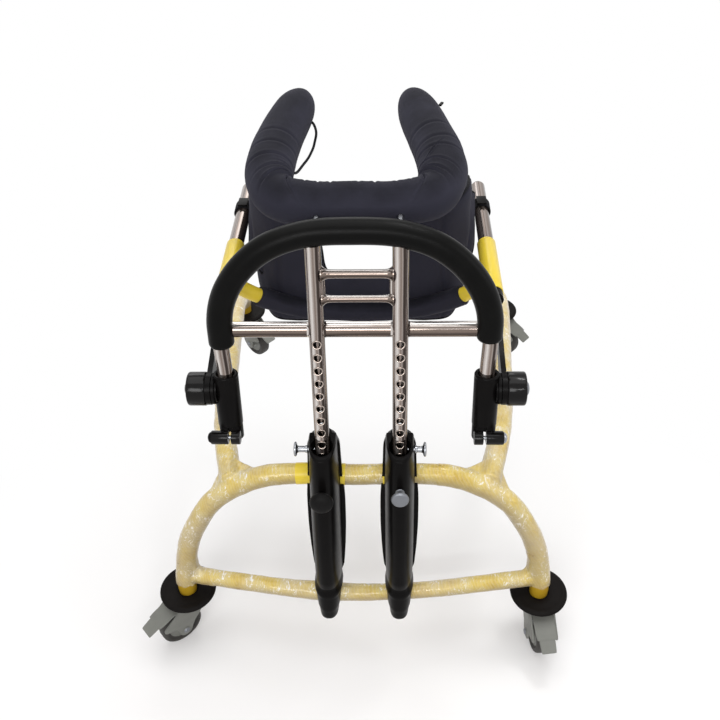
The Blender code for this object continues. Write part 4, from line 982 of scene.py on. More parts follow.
def build_housings():
    """Each stem's housing: a front cover with its cup mouth, a back shell and a seam."""
    joint = HOUSING_JOINT
    cover_rows = (
        (0.0, -0.02, -0.01, 0.0075), (0.03, -0.012, -0.0275, 0.015),
        (0.09, -0.005, -0.038, 0.019), (0.17, -0.004, -0.04, 0.0212),
        (0.235, joint, -0.06, 0.0218), (0.45, joint, -0.0615, 0.0226),
        (0.65, joint, -0.06, 0.0228), (0.82, joint, -0.057, 0.0224),
        (0.93, joint, -0.0545, 0.0216), (0.985, joint, -0.053, 0.0212),
        (1.0, joint, -0.05, 0.0196),
    )
    back_rows = [(up, joint + 0.0006, bulge, half) for up, bulge, half in (
        (0.19, 0.01, 0.02), (0.235, 0.019, 0.0248), (0.36, 0.03, 0.0282),
        (0.52, 0.037, 0.03), (0.66, 0.04, 0.0296), (0.73, 0.041, 0.028),
        (0.85, 0.034, 0.0258), (0.94, 0.026, 0.0245), (0.98, 0.02, 0.0195),
        (1.0, 0.014, 0.013),
    )]
    bore_profile = bar_profile(0.0127, 0.0, 0.3)
    cup_profile = [(0.0, 0.0), (0.0135, 0.0), (0.0158, 0.003), (0.0166, 0.012),
                   (0.0168, 0.07), (0.0, 0.07)]
    for word, x in STEM_XS.items():
        cover = housing_shell("cover", x, cover_rows)
        bore = lathe("bore", bore_profile, mast_point(x, 0.19), LEAN_UP, "plastic", 44)
        cup = lathe("cup", cup_profile, mast_point(x, HOUSING_TOP - 0.041, -0.0125), LEAN_UP,
                    "plastic", 44)
        cover = cut(cover, cup, bore)
        cover.name = f"housing_front_{word}"
        place(cover, "base", "black_plastic", f"housing_cover_{word}")
        back = housing_shell(f"housing_rear_{word}", x, back_rows)
        place(back, "base", "black_plastic", f"housing_back_{word}")
        for way, end in ((-1, "in"), (1, "out")):
            line = [mast_point(x + way * mix(0.0218, 0.0227, math.sin(math.pi * i / 30)),
                               mix(0.2, 0.432, i / 30), joint - 0.0008) for i in range(31)]
            seam = sweep(f"housing_seam_{word}_{end}", line, 0.0009, 12, "plastic")
            place(seam, "base", "black_plastic")
        pins(word, x)


def pins(word, x):
    """The pull pin at a housing's side and the plunger on its front."""
    shaft = [(0.0028, PIN_TIP), (0.0, PIN_TIP)]
    out = PIN_REACH[word]
    profile = [(0.0, out), (0.007, out), (0.0098, out - 0.0004), (0.0109, out - 0.0012),
               (0.0112, out - 0.0024), (0.0107, out - 0.0036), (0.009, out - 0.0044),
               (0.0062, out - 0.005), (0.0052, out - 0.0062), (0.0048, out - 0.008),
               (0.0048, 0.0262), (0.0056, 0.0256), (0.0058, 0.023), (0.0052, 0.0225),
               (0.0028, 0.0224)] + shaft
    pin = lathe(f"pull_pin_{word}", profile, mast_point(x, PIN_RISE), (SIDES[word], 0, 0),
                "steel", 48)
    place(pin, f"pin_{word}", "steel", f"side_pin_{word}")
    face = PLUNGER_FACE
    reach = face + PLUNGER_REACH[word]
    head, depth = PLUNGER_HEAD[word]
    flat, look, slot = ((0.0, "satin", "black_foam") if word == "left" else
                        (0.72, "button", "steel"))
    profile = []
    for i in range(13):
        angle = math.pi / 2 * i / 12
        profile.append((head * mix(math.sin(angle), 1.0, flat) if i else 0.0,
                        reach - 0.68 * depth * (1 - math.cos(angle)) ** 1.1))
    profile += [(head * 0.99, reach - 0.8 * depth), (head * 0.9, reach - 0.94 * depth),
                (head * 0.7, reach - depth), (0.0066, reach - depth - 0.0006),
                (0.006, reach - depth - 0.0016), (0.006, face + 0.0024),
                (0.0068, face + 0.0018), (0.0068, face + 0.001), (0.0028, face + 0.0008)]
    plunger = lathe(f"plunger_knob_{word}", profile + shaft,
                    mast_point(x, PLUNGER_RISE[word]), -LEAN_BACK, look, 56)
    place(plunger, f"plunger_{word}", slot, f"front_plunger_{word}")


def handle_path(ends):
    """Centreline of the handlebar arch, down to these heights on its two posts."""
    shape = ((0.0, 1.0), (0.35, 0.965), (0.622, 0.824), (0.833, 0.565), (0.962, 0.25), (1.0, 0.0))
    half = [(POST_X * across, mix(HANDLE_SHOULDER, HANDLE_TOP, up)) for across, up in shape]
    path = mirrored([(x, MAST_FOOT_Y + LEAN * rise, rise) for x, rise in half])
    for word, side in SIDES.items():
        rises = (mix(HANDLE_SHOULDER, ends[word], 0.5), ends[word])
        leg = [Vector((side * POST_X, MAST_FOOT_Y + LEAN * rise, rise)) for rise in rises]
        path = leg[::-1] + path if side < 0 else path + leg
    return shifted(smooth(path, 10))


def bored_stem(word, x):
    """A plated tube with its row of holes right through, and a pressed rim round each."""
    inner, length = STEM_RADIUS - STEM_WALL, (STEM_TOP - STEM_BOTTOM) / math.cos(LEAN_ANGLE)
    foot = mast_point(x, STEM_BOTTOM)
    profile = [(STEM_RADIUS, 0.0), (STEM_RADIUS, length), (inner, length), (inner, 0.0)]
    stem = lathe("stem", profile, foot, LEAN_UP, "chrome", 64, True)
    bore = bar_profile(HOLE_RADIUS, -0.03, 0.03)
    bores, rims = [], []
    for i in range(HOLE_COUNT):
        rise = HOLE_FIRST - i * HOLE_PITCH
        bores.append(lathe("bore", bore, mast_point(x, rise), LEAN_BACK, "chrome", 28))
        for way in (-1, 1):
            ring = []
            for cosine, sine in circle(32):
                across = RIM_REACH * cosine
                deep = way * (math.sqrt(STEM_RADIUS ** 2 - across ** 2) + 0.0001)
                spot = mast_point(x + across, rise, deep)
                ring.append(spot + LEAN_UP * (RIM_REACH * sine))
            rims.append(closed_ring("rim", ring, 0.0009, "rim"))
    stem = cut(stem, joined("bores", bores))
    stem.name = f"stem_tube_{word}"
    place(stem, "mast", "chrome", f"stem_{word}")
    place(joined(f"hole_rims_{word}", rims), "mast", "chrome")


def closed_ring(name, path, radius, look):
    """A thin bar bent round a closed path."""
    verts, count, sides = [], len(path), 10
    middle = sum(path, Vector()) / count
    for i, point in enumerate(path):
        ahead = (path[(i + 1) % count] - path[i - 1]).normalized()
        out = (point - middle).normalized()
        out = (out - ahead * out.dot(ahead)).normalized()
        over = ahead.cross(out)
        verts += [point + (out * across + over * rise) * radius for across, rise in circle(sides)]
    return mesh_object(name, verts, grid_faces(count, sides, closed=True), look)


def weld(centre, axis, radius, size):
    """A small fillet of weld round a bar where it meets a tube."""
    profile = [(radius - 0.0004, 0.0), (radius + size, 0.0), (radius + size * 0.62, size * 0.35),
               (radius + size * 0.22, size * 0.8), (radius - 0.0002, size * 1.7),
               (radius - 0.0008, size * 1.7)]
    return lathe("weld", profile, centre, axis, "chrome", 40, True)


def build_mast():
    posts = {"left": POST_BOTTOM, "right": POST_BOTTOM}
    tube = sweep("handle_bar", handle_path(posts), POST_RADIUS, 56, "chrome")
    place(tube, "mast", "chrome", "handlebar_tube")
    path = handle_path(FOAM_ENDS)
    total = lengths_along(path)[-1]
    rims = (0.0002, 0.0007, 0.0015, 0.0025, 0.004, 0.006, 0.009)
    path = evenly(path, 0.0, total, 0.006, rims)
    edge = rounded(FOAM_RADIUS, total, 0.0075)

    def grip(run, angle):
        spot = Vector((run * 30, math.cos(angle), math.sin(angle)))
        return max(0.0112, edge(run, angle) + 0.00022 * noise.noise(spot))

    place(sweep("grip_foam", path, grip, 56, "foam"), "mast", "black_foam", "foam_grip")
    for word, x in STEM_XS.items():
        bored_stem(word, x)
    cross = [mast_point(mix(-CROSS_TUBE_HALF, CROSS_TUBE_HALF, i / 40), CROSS_TUBE_RISE,
                        CROSS_TUBE_BACK) for i in range(41)]
    tube = sweep("cross_bar", cross, CROSS_TUBE_RADIUS, 56, "chrome_across")
    place(tube, "mast", "chrome", "cross_tube")
    welds = []
    for x in STEM_XS.values():
        for way in (-1, 1):
            spot = mast_point(x + way * 0.0088, CROSS_TUBE_RISE, CROSS_TUBE_BACK)
            welds.append(weld(spot, (way, 0, 0), CROSS_TUBE_RADIUS, 0.003))
    ladder()
    place(joined("mast_welds", welds), "mast", "chrome")


def ladder():
    """The two short bars between the stems, and a fillet down the inside of each stem."""
    near, far = STEM_XS["left"] + 0.009, STEM_XS["right"] - 0.009
    length = far - near
    for name, (rise, radius) in LADDERS.items():
        line = [mast_point(mix(near, far, i / 60), rise) for i in range(61)]

        def flared(run, angle, radius=radius):
            end = min(run, length - run) - 0.002
            return radius + 0.0052 * math.exp(-max(0.0, end) / 0.0032)

        rung = sweep(f"rung_{name}", line, flared, 48, "chrome_across")
        place(rung, "mast", "chrome", f"ladder_bar_{name}")
    top, bottom = LADDERS["upper"][0] + 0.009, LADDERS["lower"][0] - 0.01
    for word, x in STEM_XS.items():
        x -= SIDES[word] * 0.0108
        line = [mast_point(x, mix(bottom, top, i / 24), 0.001) for i in range(25)]
        total = lengths_along(line)[-1]
        fillet = sweep(f"rung_fillet_{word}", line, lambda run, angle, total=total:
                       0.0012 + 0.0026 * math.sin(math.pi * run / total) ** 0.6, 24, "chrome")
        place(fillet, "mast", "chrome")


def build_clamps():
    """The sleeve on each post with its split clamp, and the knob at the pivot above it."""
    r, bore = SLEEVE_RADIUS, 0.0114
    length = (SLEEVE_TOP - SLEEVE_BOTTOM) / math.cos(LEAN_ANGLE)
    lean = Matrix.Rotation(-LEAN_ANGLE, 4, "X")
    sleeve = [(bore, 0.0), (r - 0.0016, 0.0), (r - 0.0008, 0.0008), (r - 0.0008, 0.0235),
              (r - 0.001, 0.024), (r - 0.0002, 0.0246), (r, 0.0256), (r, length - 0.006),
              (r - 0.0004, length - 0.005), (r - 0.0001, length - 0.004),
              (r - 0.0001, length - 0.0022), (r - 0.0008, length - 0.0008),
              (r - 0.0018, length - 0.0002), (r - 0.003, length),
              (r - 0.0046, length - 0.0003), (r - 0.0054, length - 0.001),
              (r - 0.006, length - 0.0026), (bore, length - 0.006)]
    reach = BOSS_FACE_X - POST_X
    boss = [(0.0, 0.0126), (0.0195, 0.0126), (0.0195, reach - 0.006),
            (0.0202, reach - 0.0052), (0.0222, reach - 0.0048), (0.0225, reach - 0.004),
            (0.0225, reach - 0.0008), (0.0217, reach), (0.0, reach)]
    post = bar_profile(0.0117, -0.02, 0.06)
    pinch = bar_profile(0.003, -CLAMP_IN + 0.006, CLAMP_OUT - 0.002)
    end = CLAMP_OUT + 0.0003
    cap = [(0.0, end + 0.005), (0.003, end + 0.0047), (0.0058, end + 0.0036),
           (0.0076, end + 0.0018), (0.0082, end), (0.0, end)]
    for word, side in SIDES.items():
        x, outward = side * POST_X, (side, 0, 0)
        foot, pivot = mast_point(x, SLEEVE_BOTTOM), mast_point(x, PIVOT_RISE)
        clamp = mast_point(x, CLAMP_RISE, CLAMP_BACK)
        slot = block("slot", clamp + LEAN_UP * -0.004 + LEAN_BACK * -0.008,
                     (CLAMP_SLOT, 0.04, 0.044), "plastic", lean, 0.0004)
        parts = [cut(lathe("barrel", sleeve, foot, LEAN_UP, "plastic", 64, True), slot),
                 lathe("boss", boss, pivot, outward, "plastic", 64)]
        lugs = []
        for way, far in ((1, CLAMP_OUT), (-1, CLAMP_IN)):
            lugs.append(lug(clamp, side * way, far))
            ear = clamp + Vector((side * way * (CLAMP_SLOT / 2 + 0.004), 0.0, 0.0))
            parts.append(block("ear", ear + LEAN_BACK * 0.0005 + LEAN_UP * 0.004,
                               (0.008, 0.0065, 0.014), "plastic", lean, 0.0016))
        post_hole = lathe("post_hole", post, foot, LEAN_UP, "plastic", 48)
        lugs = cut(joined(f"clamp_lugs_{word}", lugs), post_hole)
        place(lugs, "clamps", "black_plastic")
        made = joined(f"clamp_shell_{word}", parts)
        place(made, "clamps", "black_plastic", f"clamp_sleeve_{word}")
        made = lathe(f"pinch_bolt_{word}", pinch, clamp, outward, "steel", 28)
        place(made, "clamps", "steel")
        look = "plastic" if word == "left" else "steel"
        made = lathe(f"bolt_cap_{word}", cap, clamp, outward, look, 40)
        place(made, "clamps", "steel", f"clamp_bolt_{word}")
        knob(word, Vector((side * BOSS_FACE_X, pivot.y, pivot.z)), outward)


def lug(clamp, way, end):
    """One of the two bosses that the clamp's bolt pulls together."""
    start, r = CLAMP_SLOT / 2, CLAMP_RADIUS
    profile = [(0.0031, start), (r - 0.0008, start), (r, start + 0.0008), (r, end - 0.0014),
               (r - 0.0005, end - 0.0004), (r - 0.0016, end), (0.0031, end)]
    return lathe("lug", profile, clamp, (way, 0, 0), "gloss", 48, True)


def knob(word, face, outward):
    start = ARM_THICKNESS + 0.0006
    end, r = start + KNOB_LENGTH, KNOB_RADIUS
    profile = [(0.0, start), (r - 0.0014, start), (r - 0.0004, start + 0.0008),
               (r, start + 0.0018), (r, end - 0.003), (r - 0.0003, end - 0.0016),
               (r - 0.001, end - 0.0006), (r - 0.0022, end), (0.015, end + 0.0006),
               (0.0124, end + 0.0004), (0.0, end + 0.0002)]
    made = lathe(f"knob_grip_{word}", profile, face, outward, "gloss", 72)
    place(made, f"knob_{word}", "black_plastic", f"pivot_knob_{word}")
    dome = [(0.0125, end), (0.0124, end + 0.0009), (0.0112, end + 0.0013)]
    for i in range(9):
        angle = math.pi / 2 * (1 - i / 8)
        dome.append((0.0105 * math.sin(angle), end + 0.0012 + 0.0046 * math.cos(angle)))
    dome.append((0.0, end))
    look = "plastic" if word == "left" else "button"
    place(lathe(f"knob_screw_{word}", dome, face, outward, look, 48), f"knob_{word}", "steel")


def build_sides():
    """The yellow side sleeves, the telescoping rods in them and the strap round each rod."""
    r, near, far = SIDE_RADIUS, SIDE_NEAR_Y, SIDE_FAR_Y
    sleeve = [(SIDE_INNER, near), (r - 0.0006, near), (r, near + 0.0006), (r, far - 0.0008),
              (r - 0.0003, far - 0.0002), (r - 0.001, far), (SIDE_INNER, far)]
    r, near, far, cap = ROD_RADIUS, ROD_NEAR_Y, ROD_FAR_Y, 0.009
    rod = [(0.0, near), (r, near), (r, far - cap)]
    for i in range(1, 8):
        angle = math.pi / 2 * i / 8
        rod.append((r * math.cos(angle), far - cap + cap * math.sin(angle)))
    rod.append((0.0, far))
    for word, side in SIDES.items():
        start = at(side * SIDE_X, 0.0, SIDE_Z)
        made = lathe(f"sleeve_tube_{word}", sleeve, start, (0, 1, 0), "paint", 64, True)
        place(made, "pelvic_frame", "yellow_paint", f"side_sleeve_{word}")
        made = lathe(f"rod_tube_{word}", rod, start, (0, 1, 0), "chrome_back", 64)
        place(made, f"rod_{word}", "chrome", f"side_rod_{word}")
        strap(word, side)


def strap(word, side):
    centre = at(side * SIDE_X, STRAP_Y, SIDE_Z)
    inside, outside, half, lip = 0.0134, 0.016, 0.0124, 0.0006
    profile = [(inside, half), (outside - lip, half), (outside, half - lip),
               (outside, -half + lip), (outside - lip, -half), (inside, -half)]
    loop = lathe(f"strap_loop_{word}", profile, centre, (0, 1, 0), "webbing", 48, True)
    place(loop, "pelvic_frame", "black_fabric", f"rod_strap_{word}")
    slider = block(f"strap_slider_{word}", centre + Vector((0, 0, outside + 0.001)),
                   (0.0165, 0.024, 0.003), "plastic", bevel=0.001)
    place(slider, "pelvic_frame", "black_plastic")
    tail = smooth([centre + Vector((-side * (outside - 0.0012), 0, 0.0015)),
                   centre + Vector((-side * (outside + 0.006), 0.001, 0.003)),
                   at(side * 0.18, STRAP_Y + 0.004, 0.595),
                   at(side * 0.1735, STRAP_Y + 0.004, 0.602)], 6)
    verts, sides, across = [], 20, Vector((0, 1, 0))
    for i, point in enumerate(tail):
        over = direction(tail, i).normalized().cross(across).normalized()
        verts += [point + across * (squared(cosine, 0.35) * 0.0105)
                  + over * (squared(sine, 0.7) * 0.0012) for cosine, sine in circle(sides)]
    made = mesh_object(f"strap_tail_{word}", verts, grid_faces(len(tail), sides), "webbing", 60)
    place(made, "pelvic_frame", "black_fabric")


def pelvic_path(steps):
    half = [(0.0, 0.303, 0.478), (0.09, 0.3005, 0.486), (0.15, 0.292, 0.511),
            (0.186, 0.277, 0.543), (0.205, 0.262, 0.571)]
    return shifted(smooth(mirrored(half), steps))


# The harness panel's lower and upper edge, from the middle to the right end
LOW_LINE = (
    (0.0, 0.3175, 0.452), (0.05, 0.3165, 0.452), (0.075, 0.3155, 0.452), (0.115, 0.312, 0.4535),
    (0.148, 0.314, 0.459), (0.168, 0.338, 0.487), (0.175, 0.39, 0.535), (0.176, 0.45, 0.562),
    (0.175, 0.492, 0.58),
)
HIGH_LINE = (
    (0.0, 0.308, 0.553), (0.05, 0.307, 0.556), (0.066, 0.306, 0.622), (0.1, 0.306, 0.66),
    (0.14, 0.316, 0.675), (0.166, 0.344, 0.684), (0.176, 0.395, 0.674), (0.178, 0.45, 0.65),
    (0.176, 0.492, 0.612),
)


def padded_sheet(name, bottoms, tops, seams, rows=26, puff=0.005, back=0.0036):
    """A quilted panel between two lines, drawn in at its seams and round its rim."""
    columns, steps = len(bottoms), range(rows + 1)
    verts = []
    for i, (bottom, top) in enumerate(zip(bottoms, tops)):
        ahead = direction(bottoms, i)
        out = Vector((ahead.y, -ahead.x, 0.0)).normalized()
        share = i / (columns - 1)
        drawn = max((bell(share - seam, 0.005) for seam in seams), default=0.0)
        edge = min(share, 1 - share) / 0.03
        for face, line in ((1, steps), (-1, reversed(steps))):
            for k in line:
                up = k / rows
                rim = min(1.0, min(up, 1 - up) / 0.1, edge)
                full = math.sqrt(max(0.02, 1 - (1 - rim) ** 2))
                ripple = noise.noise(Vector((share * 15, up * 2.6, face * 2.0)))
                folds = noise.noise(Vector((share * 34 + up * 5, up * 2.0, 7.0)))
                lift = (puff if face > 0 else back) * full * (1 - 0.6 * drawn)
                lift += (0.0016 * ripple + 0.0008 * folds) * full
                verts.append(mix(bottom, top, up) + out * face * lift)
    made = mesh_object(name, verts, grid_faces(columns, 2 * (rows + 1)), "cloth", 70)
    place(made, "pelvic_frame", "black_fabric")
    return made


def piping(name, line, radius=0.0021):
    made = sweep(name, line, radius, 12, "webbing")
    place(made, "pelvic_frame", "black_fabric")


def build_harness():
    tube = sweep("pelvic_bar", pelvic_path(10), PELVIC_RADIUS, 48, "paint", caps=False)
    place(tube, "pelvic_frame", "yellow_paint", "pelvic_tube")
    casing_path = [p for p in pelvic_path(40) if abs(p.x) < CASING_HALF]
    total = lengths_along(casing_path)[-1]
    edge = rounded(0.0168, total, 0.0028)

    def casing(run, angle):
        spot = Vector((run * 40, math.cos(angle) * 1.5, math.sin(angle) * 1.5))
        return edge(run, angle) + 0.0009 * noise.noise(spot)

    made = sweep("tube_casing", casing_path, casing, 48, "cloth")
    place(made, "pelvic_frame", "black_fabric")
    bottoms = shifted(smooth(mirrored(LOW_LINE), 12))
    tops = shifted(smooth(mirrored(HIGH_LINE), 12))
    seams = (0.12, 0.27, 0.4, 0.6, 0.73, 0.88)
    panel = padded_sheet("harness_pad", bottoms, tops, seams)
    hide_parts("harness_panel")
    piping("piping_top", tops)
    piping("piping_low", bottoms)
    for word, side in SIDES.items():
        ear(word, side)
        sling(word, side)


def ear(word, side):
    """The triangular flap that ties the panel's corner to the strap on the rod."""
    lower = [(side * 0.164, 0.322, 0.543), (side * 0.183, 0.35, 0.558),
             (side * 0.1905, 0.4, 0.578), (side * 0.1915, 0.452, 0.594)]
    upper = [(side * 0.156, 0.352, 0.668), (side * 0.172, 0.392, 0.655),
             (side * 0.186, 0.43, 0.632), (side * 0.1935, 0.458, 0.612)]
    bottoms, tops = shifted(smooth(lower, 8)), shifted(smooth(upper, 8))
    if side > 0:
        bottoms, tops = bottoms[::-1], tops[::-1]
    padded_sheet(f"harness_ear_{word}", bottoms, tops, (), 14, 0.0026, 0.002)
    piping(f"ear_hem_low_{word}", bottoms, 0.0019)
    piping(f"ear_hem_top_{word}", tops, 0.0019)


def sling(word, side):
    """The thigh strap, which dips from the panel's foot and rises to its far end."""
    path = shifted(smooth([
        (side * 0.092, 0.3217, 0.478), (side * 0.0975, 0.343, 0.44),
        (side * 0.11, 0.39, 0.42), (side * 0.128, 0.436, 0.436),
        (side * 0.149, 0.468, 0.48), (side * 0.161, 0.474, 0.535),
        (side * 0.1657, 0.474, 0.59),
    ], 8))
    cells = 14
    steps, verts = range(cells + 1), []
    for i, point in enumerate(path):
        ahead = direction(path, i).normalized()
        across = UP.cross(ahead).normalized()
        up = ahead.cross(across)
        end = abs(2 * i / (len(path) - 1) - 1)
        half = 0.025 * (1.0 - 0.35 * end ** 2)
        for face, line in ((1, steps), (-1, reversed(steps))):
            for k in line:
                x = 2 * k / cells - 1
                puff = math.sqrt(max(0.0, 1 - abs(x) ** 5))
                stitch = bell(abs(x) - 0.78, 0.07)
                curl = 0.006 * x * x * (1 - end * end)
                lift = face * 0.0034 * puff * (1 - 0.4 * stitch)
                verts.append(point + across * (x * half) + up * (lift + curl))
    made = mesh_object(f"thigh_strap_{word}", verts, grid_faces(len(path), 2 * (cells + 1)),
                       "cloth", 70)
    place(made, "pelvic_frame", "black_fabric", f"thigh_sling_{word}")


def cushion_path(steps):
    front = ((-0.45, 0.0), (0.0, -0.003), (0.45, 0.0))
    left = ((-0.85, 0.055), (-0.985, 0.19), (-1.0, 0.36), (-0.96, 0.56), (-0.87, 0.78),
            (-0.765, 1.0))
    right = ((0.85, 0.055), (0.975, 0.19), (0.972, 0.34), (0.89, 0.53), (0.78, 0.74),
             (0.645, 1.0))
    shape = left[::-1] + front + right
    return shifted(smooth([(CUSHION_HALF * x, CUSHION_FRONT_Y + CUSHION_DEPTH * y, CUSHION_Z)
                           for x, y in shape], steps))


def cushion_taper(share):
    """The cushion's thickness at this share of the way from its middle to an end."""
    slim = max(0.0, (share - 0.55) / 0.45)
    end = max(0.0, (share - 0.82) / 0.18)
    fuller = 0.94 + 0.15 * min(1.0, max(0.0, (share - 0.3) / 0.2))
    return fuller * (1 - 0.12 * slim ** 2) * math.sqrt(max(0.0, 1 - 0.94 * end ** 3))


def crease_depth(signed, angle):
    """How far a crease, pucker or seam draws the cushion in, at a place along and round it."""
    depth = 0.0
    for where, reach, deep, width, slant, middle in CREASES:
        around = math.atan2(math.sin(angle - middle), math.cos(angle - middle))
        along = signed - where - slant * around
        fade = bell(around, reach)
        depth += deep * fade * bell(along, width)
        depth -= 0.3 * deep * fade * bell(abs(along) - 2.6 * width, 1.5 * width)
    return depth


def cushion_creases():
    """(place along, reach round, depth, width, slant, middle angle) of each crease.

    Places run from -1 at the left end to 1 at the right one, and angles from the inner side
    over the top."""
    arms = (
        (-0.292, 1.2, 0.006, 0.005, 0.06, 0.6), (-0.318, 0.5, 0.004, 0.004, 0.05, 0.2),
        (-0.345, 0.75, 0.0095, 0.005, 0.03, 1.15), (-0.362, 0.5, 0.0046, 0.004, 0.02, 0.3),
        (-0.395, 0.9, 0.0022, 0.005, 0.02, 1.2), (-0.432, 0.6, 0.002, 0.0045, 0.01, 0.5),
        (-0.47, 1.3, 0.002, 0.0055, 0.012, 1.5), (-0.56, 1.5, 0.0013, 0.006, 0.008, 1.6),
        (-0.64, 1.0, 0.0012, 0.006, 0.005, 1.2),
        (0.3, 1.2, 0.006, 0.005, -0.06, 0.6), (0.33, 0.5, 0.0044, 0.004, -0.045, 0.2),
        (0.352, 0.7, 0.0072, 0.0048, -0.035, 0.9), (0.38, 0.8, 0.0064, 0.0045, -0.03, 0.9),
        (0.415, 0.5, 0.0024, 0.0045, -0.015, 0.4), (0.44, 0.9, 0.0034, 0.0045, -0.03, 1.0),
        (0.5, 0.4, 0.0044, 0.004, 0.13, 1.1), (0.535, 1.2, 0.0018, 0.0055, -0.008, 1.3),
        (0.6, 1.4, 0.0014, 0.006, 0.004, 1.5), (0.69, 1.0, 0.0014, 0.006, 0.004, 1.2),
    )
    puckers = tuple((where, 0.65, 0.6 * deep, 0.0042, 0.01, 0.75) for where, deep in (
        (-0.185, 0.0022), (-0.135, 0.0026), (-0.085, 0.003), (0.01, 0.0016), (0.065, 0.0034),
        (0.15, 0.002), (0.205, 0.0018)))
    return arms + puckers


CREASES = cushion_creases()


def inflated(made, voxel, pressure, most):
    """Padded fabric: the closed shape blown up as cloth, each point held within a limit."""
    evened(made, voxel)
    applied(made)
    start = [vertex.co.copy() for vertex in made.data.vertices]
    cloth = made.modifiers.new("cloth", "CLOTH")
    cloth.settings.quality = 5
    cloth.settings.mass = 0.25
    cloth.settings.use_pressure = True
    cloth.settings.uniform_pressure_force = pressure
    cloth.settings.effector_weights.gravity = 0.0
    cloth.point_cache.frame_start, cloth.point_cache.frame_end = 1, 20
    scene = bpy.context.scene
    for number in range(1, 21):
        scene.frame_set(number)
    applied(made)
    scene.frame_set(1)
    for vertex, before in zip(made.data.vertices, start):
        move = vertex.co - before
        if move.length > most:
            vertex.co = before + move * (most / move.length)
    return made


def cushion():
    path = cushion_path(10)
    total, sides = len(path) - 1, 36
    slack = 0.955
    verts = []
    for i, point in enumerate(path):
        ahead = direction(path, i)
        across = Vector((ahead.y, -ahead.x, 0.0)).normalized()
        radius = CUSHION_RADIUS * cushion_taper(abs(2 * i / total - 1)) * slack
        verts += [point - across * (cosine * radius) + UP * (sine * radius)
                  for cosine, sine in circle(sides)]
    made = mesh_object("trunk_pad", verts, grid_faces(len(path), sides), None, 80)
    inflated(made, voxel=0.005, pressure=4.0, most=0.0045)
    evened(made, 0.0032)
    finer = made.modifiers.new("finer", "SUBSURF")
    finer.levels = finer.render_levels = 1
    applied(made)
    line = cushion_path(30)
    tree = kdtree.KDTree(len(line))
    for number, point in enumerate(line):
        tree.insert(point, number)
    tree.balance()
    for vertex in made.data.vertices:
        near, number, _ = tree.find(vertex.co)
        span = direction(line, number)
        ahead = span.normalized()
        across = Vector((ahead.y, -ahead.x, 0.0)).normalized()
        out = vertex.co - near
        over = out.dot(ahead)
        out -= ahead * over
        signed = 2 * (number + over / max(span.length / 2, 1e-6)) / (len(line) - 1) - 1
        angle = math.atan2(out.z, -out.dot(across))
        spot = Vector((signed * 8, math.cos(angle) * 0.8, math.sin(angle) * 0.8))
        seam = bell(angle + 0.35, 0.06) * 0.0012
        draw = crease_depth(signed, angle) + seam - 0.0012 * noise.noise(spot)
        if out.length > 1e-6 and abs(signed) < 0.995:
            vertex.co -= out.normalized() * draw
    soften(made, 80)
    dress(made, "cloth")
    place(made, "mast", "black_fabric", "trunk_cushion")
    trims()


def trims():
    """The tab at the cushion's left inner corner and the zip pull on its right arm."""
    tab = block("corner_tab", at(-0.0905, 0.2345, 0.756), (0.01, 0.012, 0.0024), "webbing",
                Matrix.Rotation(0.5, 4, "Z"), 0.0008)
    place(tab, "mast", "black_fabric")
    pull = block("zip_pull", at(0.1315, 0.476, 0.766), (0.005, 0.012, 0.003), "plastic",
                 Matrix.Rotation(-0.4, 4, "Z"), 0.001)
    place(pull, "mast", "black_plastic")


def cord():
    route = [(-0.096, 0.47, 0.748), (-0.0765, 0.464, 0.741), (-0.0719, 0.4589, 0.73),
             (-0.0743, 0.4446, 0.716), (-0.0796, 0.4117, 0.712), (-0.0874, 0.3699, 0.717),
             (-0.0936, 0.3218, 0.73), (-0.096, 0.3, 0.742), (-0.114, 0.29, 0.746)]
    path = shifted(smooth(route, 8))
    made = sweep("hanging_cord", path, 0.0021, 14, "webbing")
    place(made, "mast", "black_fabric", "cushion_cord")
    round(lengths_along(path)[-1], 4)


def stage():
    """A pale floor that keeps the object's shadow and is white where nothing shades it."""
    data = bpy.data.meshes.new("floor")
    data.from_pydata([(-40, -40, 0), (40, -40, 0), (40, 40, 0), (-40, 40, 0)], [],
                     [(0, 1, 2, 3)])
    floor = linked("floor", data)
    floor.location.z = -0.0003
    look = Look("pale_floor", (0.8, 0.8, 0.805), 0.9, Specular_IOR_Level=0.0)
    spread = look.where()
    look.colour(look.blend(look.noise(spread, 2.0), (0.79, 0.79, 0.795), (0.81, 0.81, 0.81)))
    seen = look.seen()
    around = look.where(scale=(0.75, 1.0, 1.0), shift=(0.0, 0.5, 0.0))
    away = look.node("ShaderNodeVectorMath", Vector=around)
    away.operation = "LENGTH"
    away = look.span(away.outputs["Value"], 0.0, 1.0, 0.25, 0.75)
    glow = look.node("ShaderNodeEmission", Color=(1, 1, 1, 1),
                     Strength=look.math("MULTIPLY", seen, 0.12))
    near = look.node("ShaderNodeAddShader")
    look.fill(near.inputs[0], look.shader.outputs[0])
    look.fill(near.inputs[1], glow.outputs[0])
    white = look.node("ShaderNodeEmission", Color=(1, 1, 1, 1), Strength=1.0)
    look.show(look.math("MULTIPLY", seen, away), near, white, "Material Output")
    data.materials.append(look.material)


def light(name, location, target, energy, size):
    data = bpy.data.lights.new(name, "AREA")
    data.energy = energy
    data.shape = "RECTANGLE"
    data.size, data.size_y = size
    made = linked(name, data)
    made.location = location
    made.rotation_euler = (Vector(target) - Vector(location)).to_track_quat("-Z", "Y").to_euler()


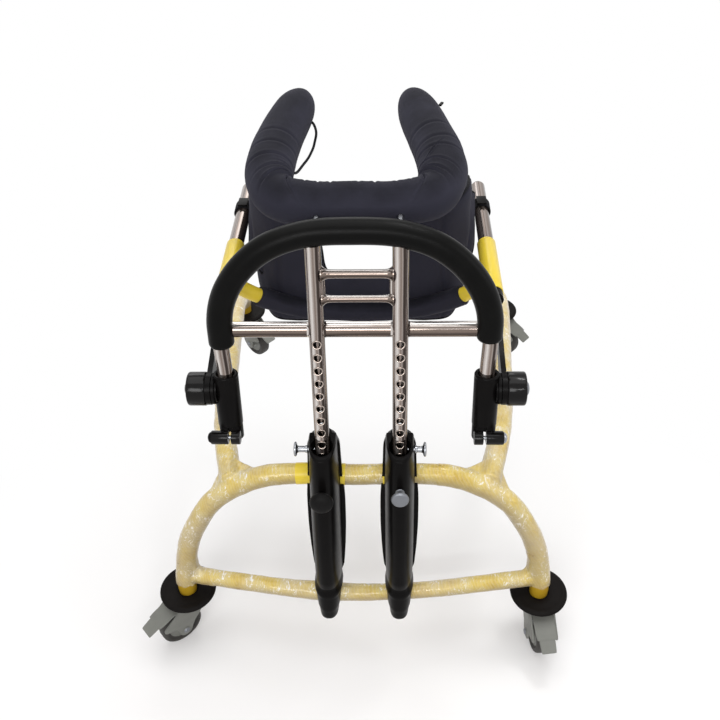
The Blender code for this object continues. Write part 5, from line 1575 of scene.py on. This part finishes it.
def lights():
    """A sky that is dark below and pale above, white to the camera, and six soft lamps."""
    world = bpy.data.worlds.new("studio")
    bpy.context.scene.world = world
    world.use_nodes = True
    sky = Nodes(world.node_tree)
    tints = sky.ramp(sky.axis("Generated", "Z"), (0.0, (0.35, 0.31, 0.29)),
                     (0.16, (0.05, 0.035, 0.028)), (0.42, (0.22, 0.17, 0.14)),
                     (0.6, (0.8, 0.78, 0.77)), (0.74, (0.46, 0.42, 0.4)),
                     (1.0, (0.72, 0.72, 0.73)))
    back = sky.tree.nodes["Background"]
    sky.fill(back.inputs["Color"], tints)
    sky.fill(back.inputs["Strength"], 0.85)
    white = sky.node("ShaderNodeBackground", Color=(1, 1, 1, 1), Strength=1.0)
    sky.show(sky.seen(), back, white, "World Output")
    light("top_softbox", (0.0, 0.3, 3.0), (0, 0, 0), 40, (3.0, 2.4))
    light("front_softbox", (-0.6, -2.8, 2.2), (0, 0, 0.4), 42, (1.6, 1.0))
    light("back_softbox", (-0.6, 2.6, 1.8), (0, 0, 0.4), 14, (2.0, 1.0))
    light("side_softbox", (2.4, -0.4, 1.6), (0, 0, 0.4), 8, (1.0, 1.6))
    light("knob_strip", (0.62, 0.38, 2.4), (0.24, -0.3, 0.53), 7, (0.5, 0.22))
    light("knob_strip_low", (0.6, -1.95, 1.8), (0.24, -0.3, 0.53), 5, (0.5, 0.1))


def camera():
    """The photo's viewpoint, as fitted from points on the floor and the frame."""
    data = bpy.data.cameras.new("camera")
    data.sensor_fit = "HORIZONTAL"
    data.sensor_width = 36.0
    data.lens = 42.5
    data.clip_start, data.clip_end = 0.05, 100.0
    made = linked("camera", data)
    yaw, pitch, roll = -0.0482, 0.7251, 0.0334
    ahead = Vector((math.sin(yaw) * math.cos(pitch), math.cos(yaw) * math.cos(pitch),
                    -math.sin(pitch)))
    right = Vector((math.cos(yaw), -math.sin(yaw), 0.0))
    down = ahead.cross(right)
    right, down = (right * math.cos(roll) + down * math.sin(roll),
                   down * math.cos(roll) - right * math.sin(roll))
    turn = Matrix((right, -down, -ahead)).transposed().to_4x4()
    turn.translation = at(0.0496, -0.8274, 1.3702)
    made.matrix_world = turn
    bpy.context.scene.camera = made
    bpy.context.scene.view_settings.view_transform = "Standard"


camera()
cord()
smooth_shading()
dress_nodes()
build_base()
bumper_discs()
build_casters()
build_housings()
build_mast()
build_clamps()
build_sides()
build_harness()
cushion()
stage()
lights()
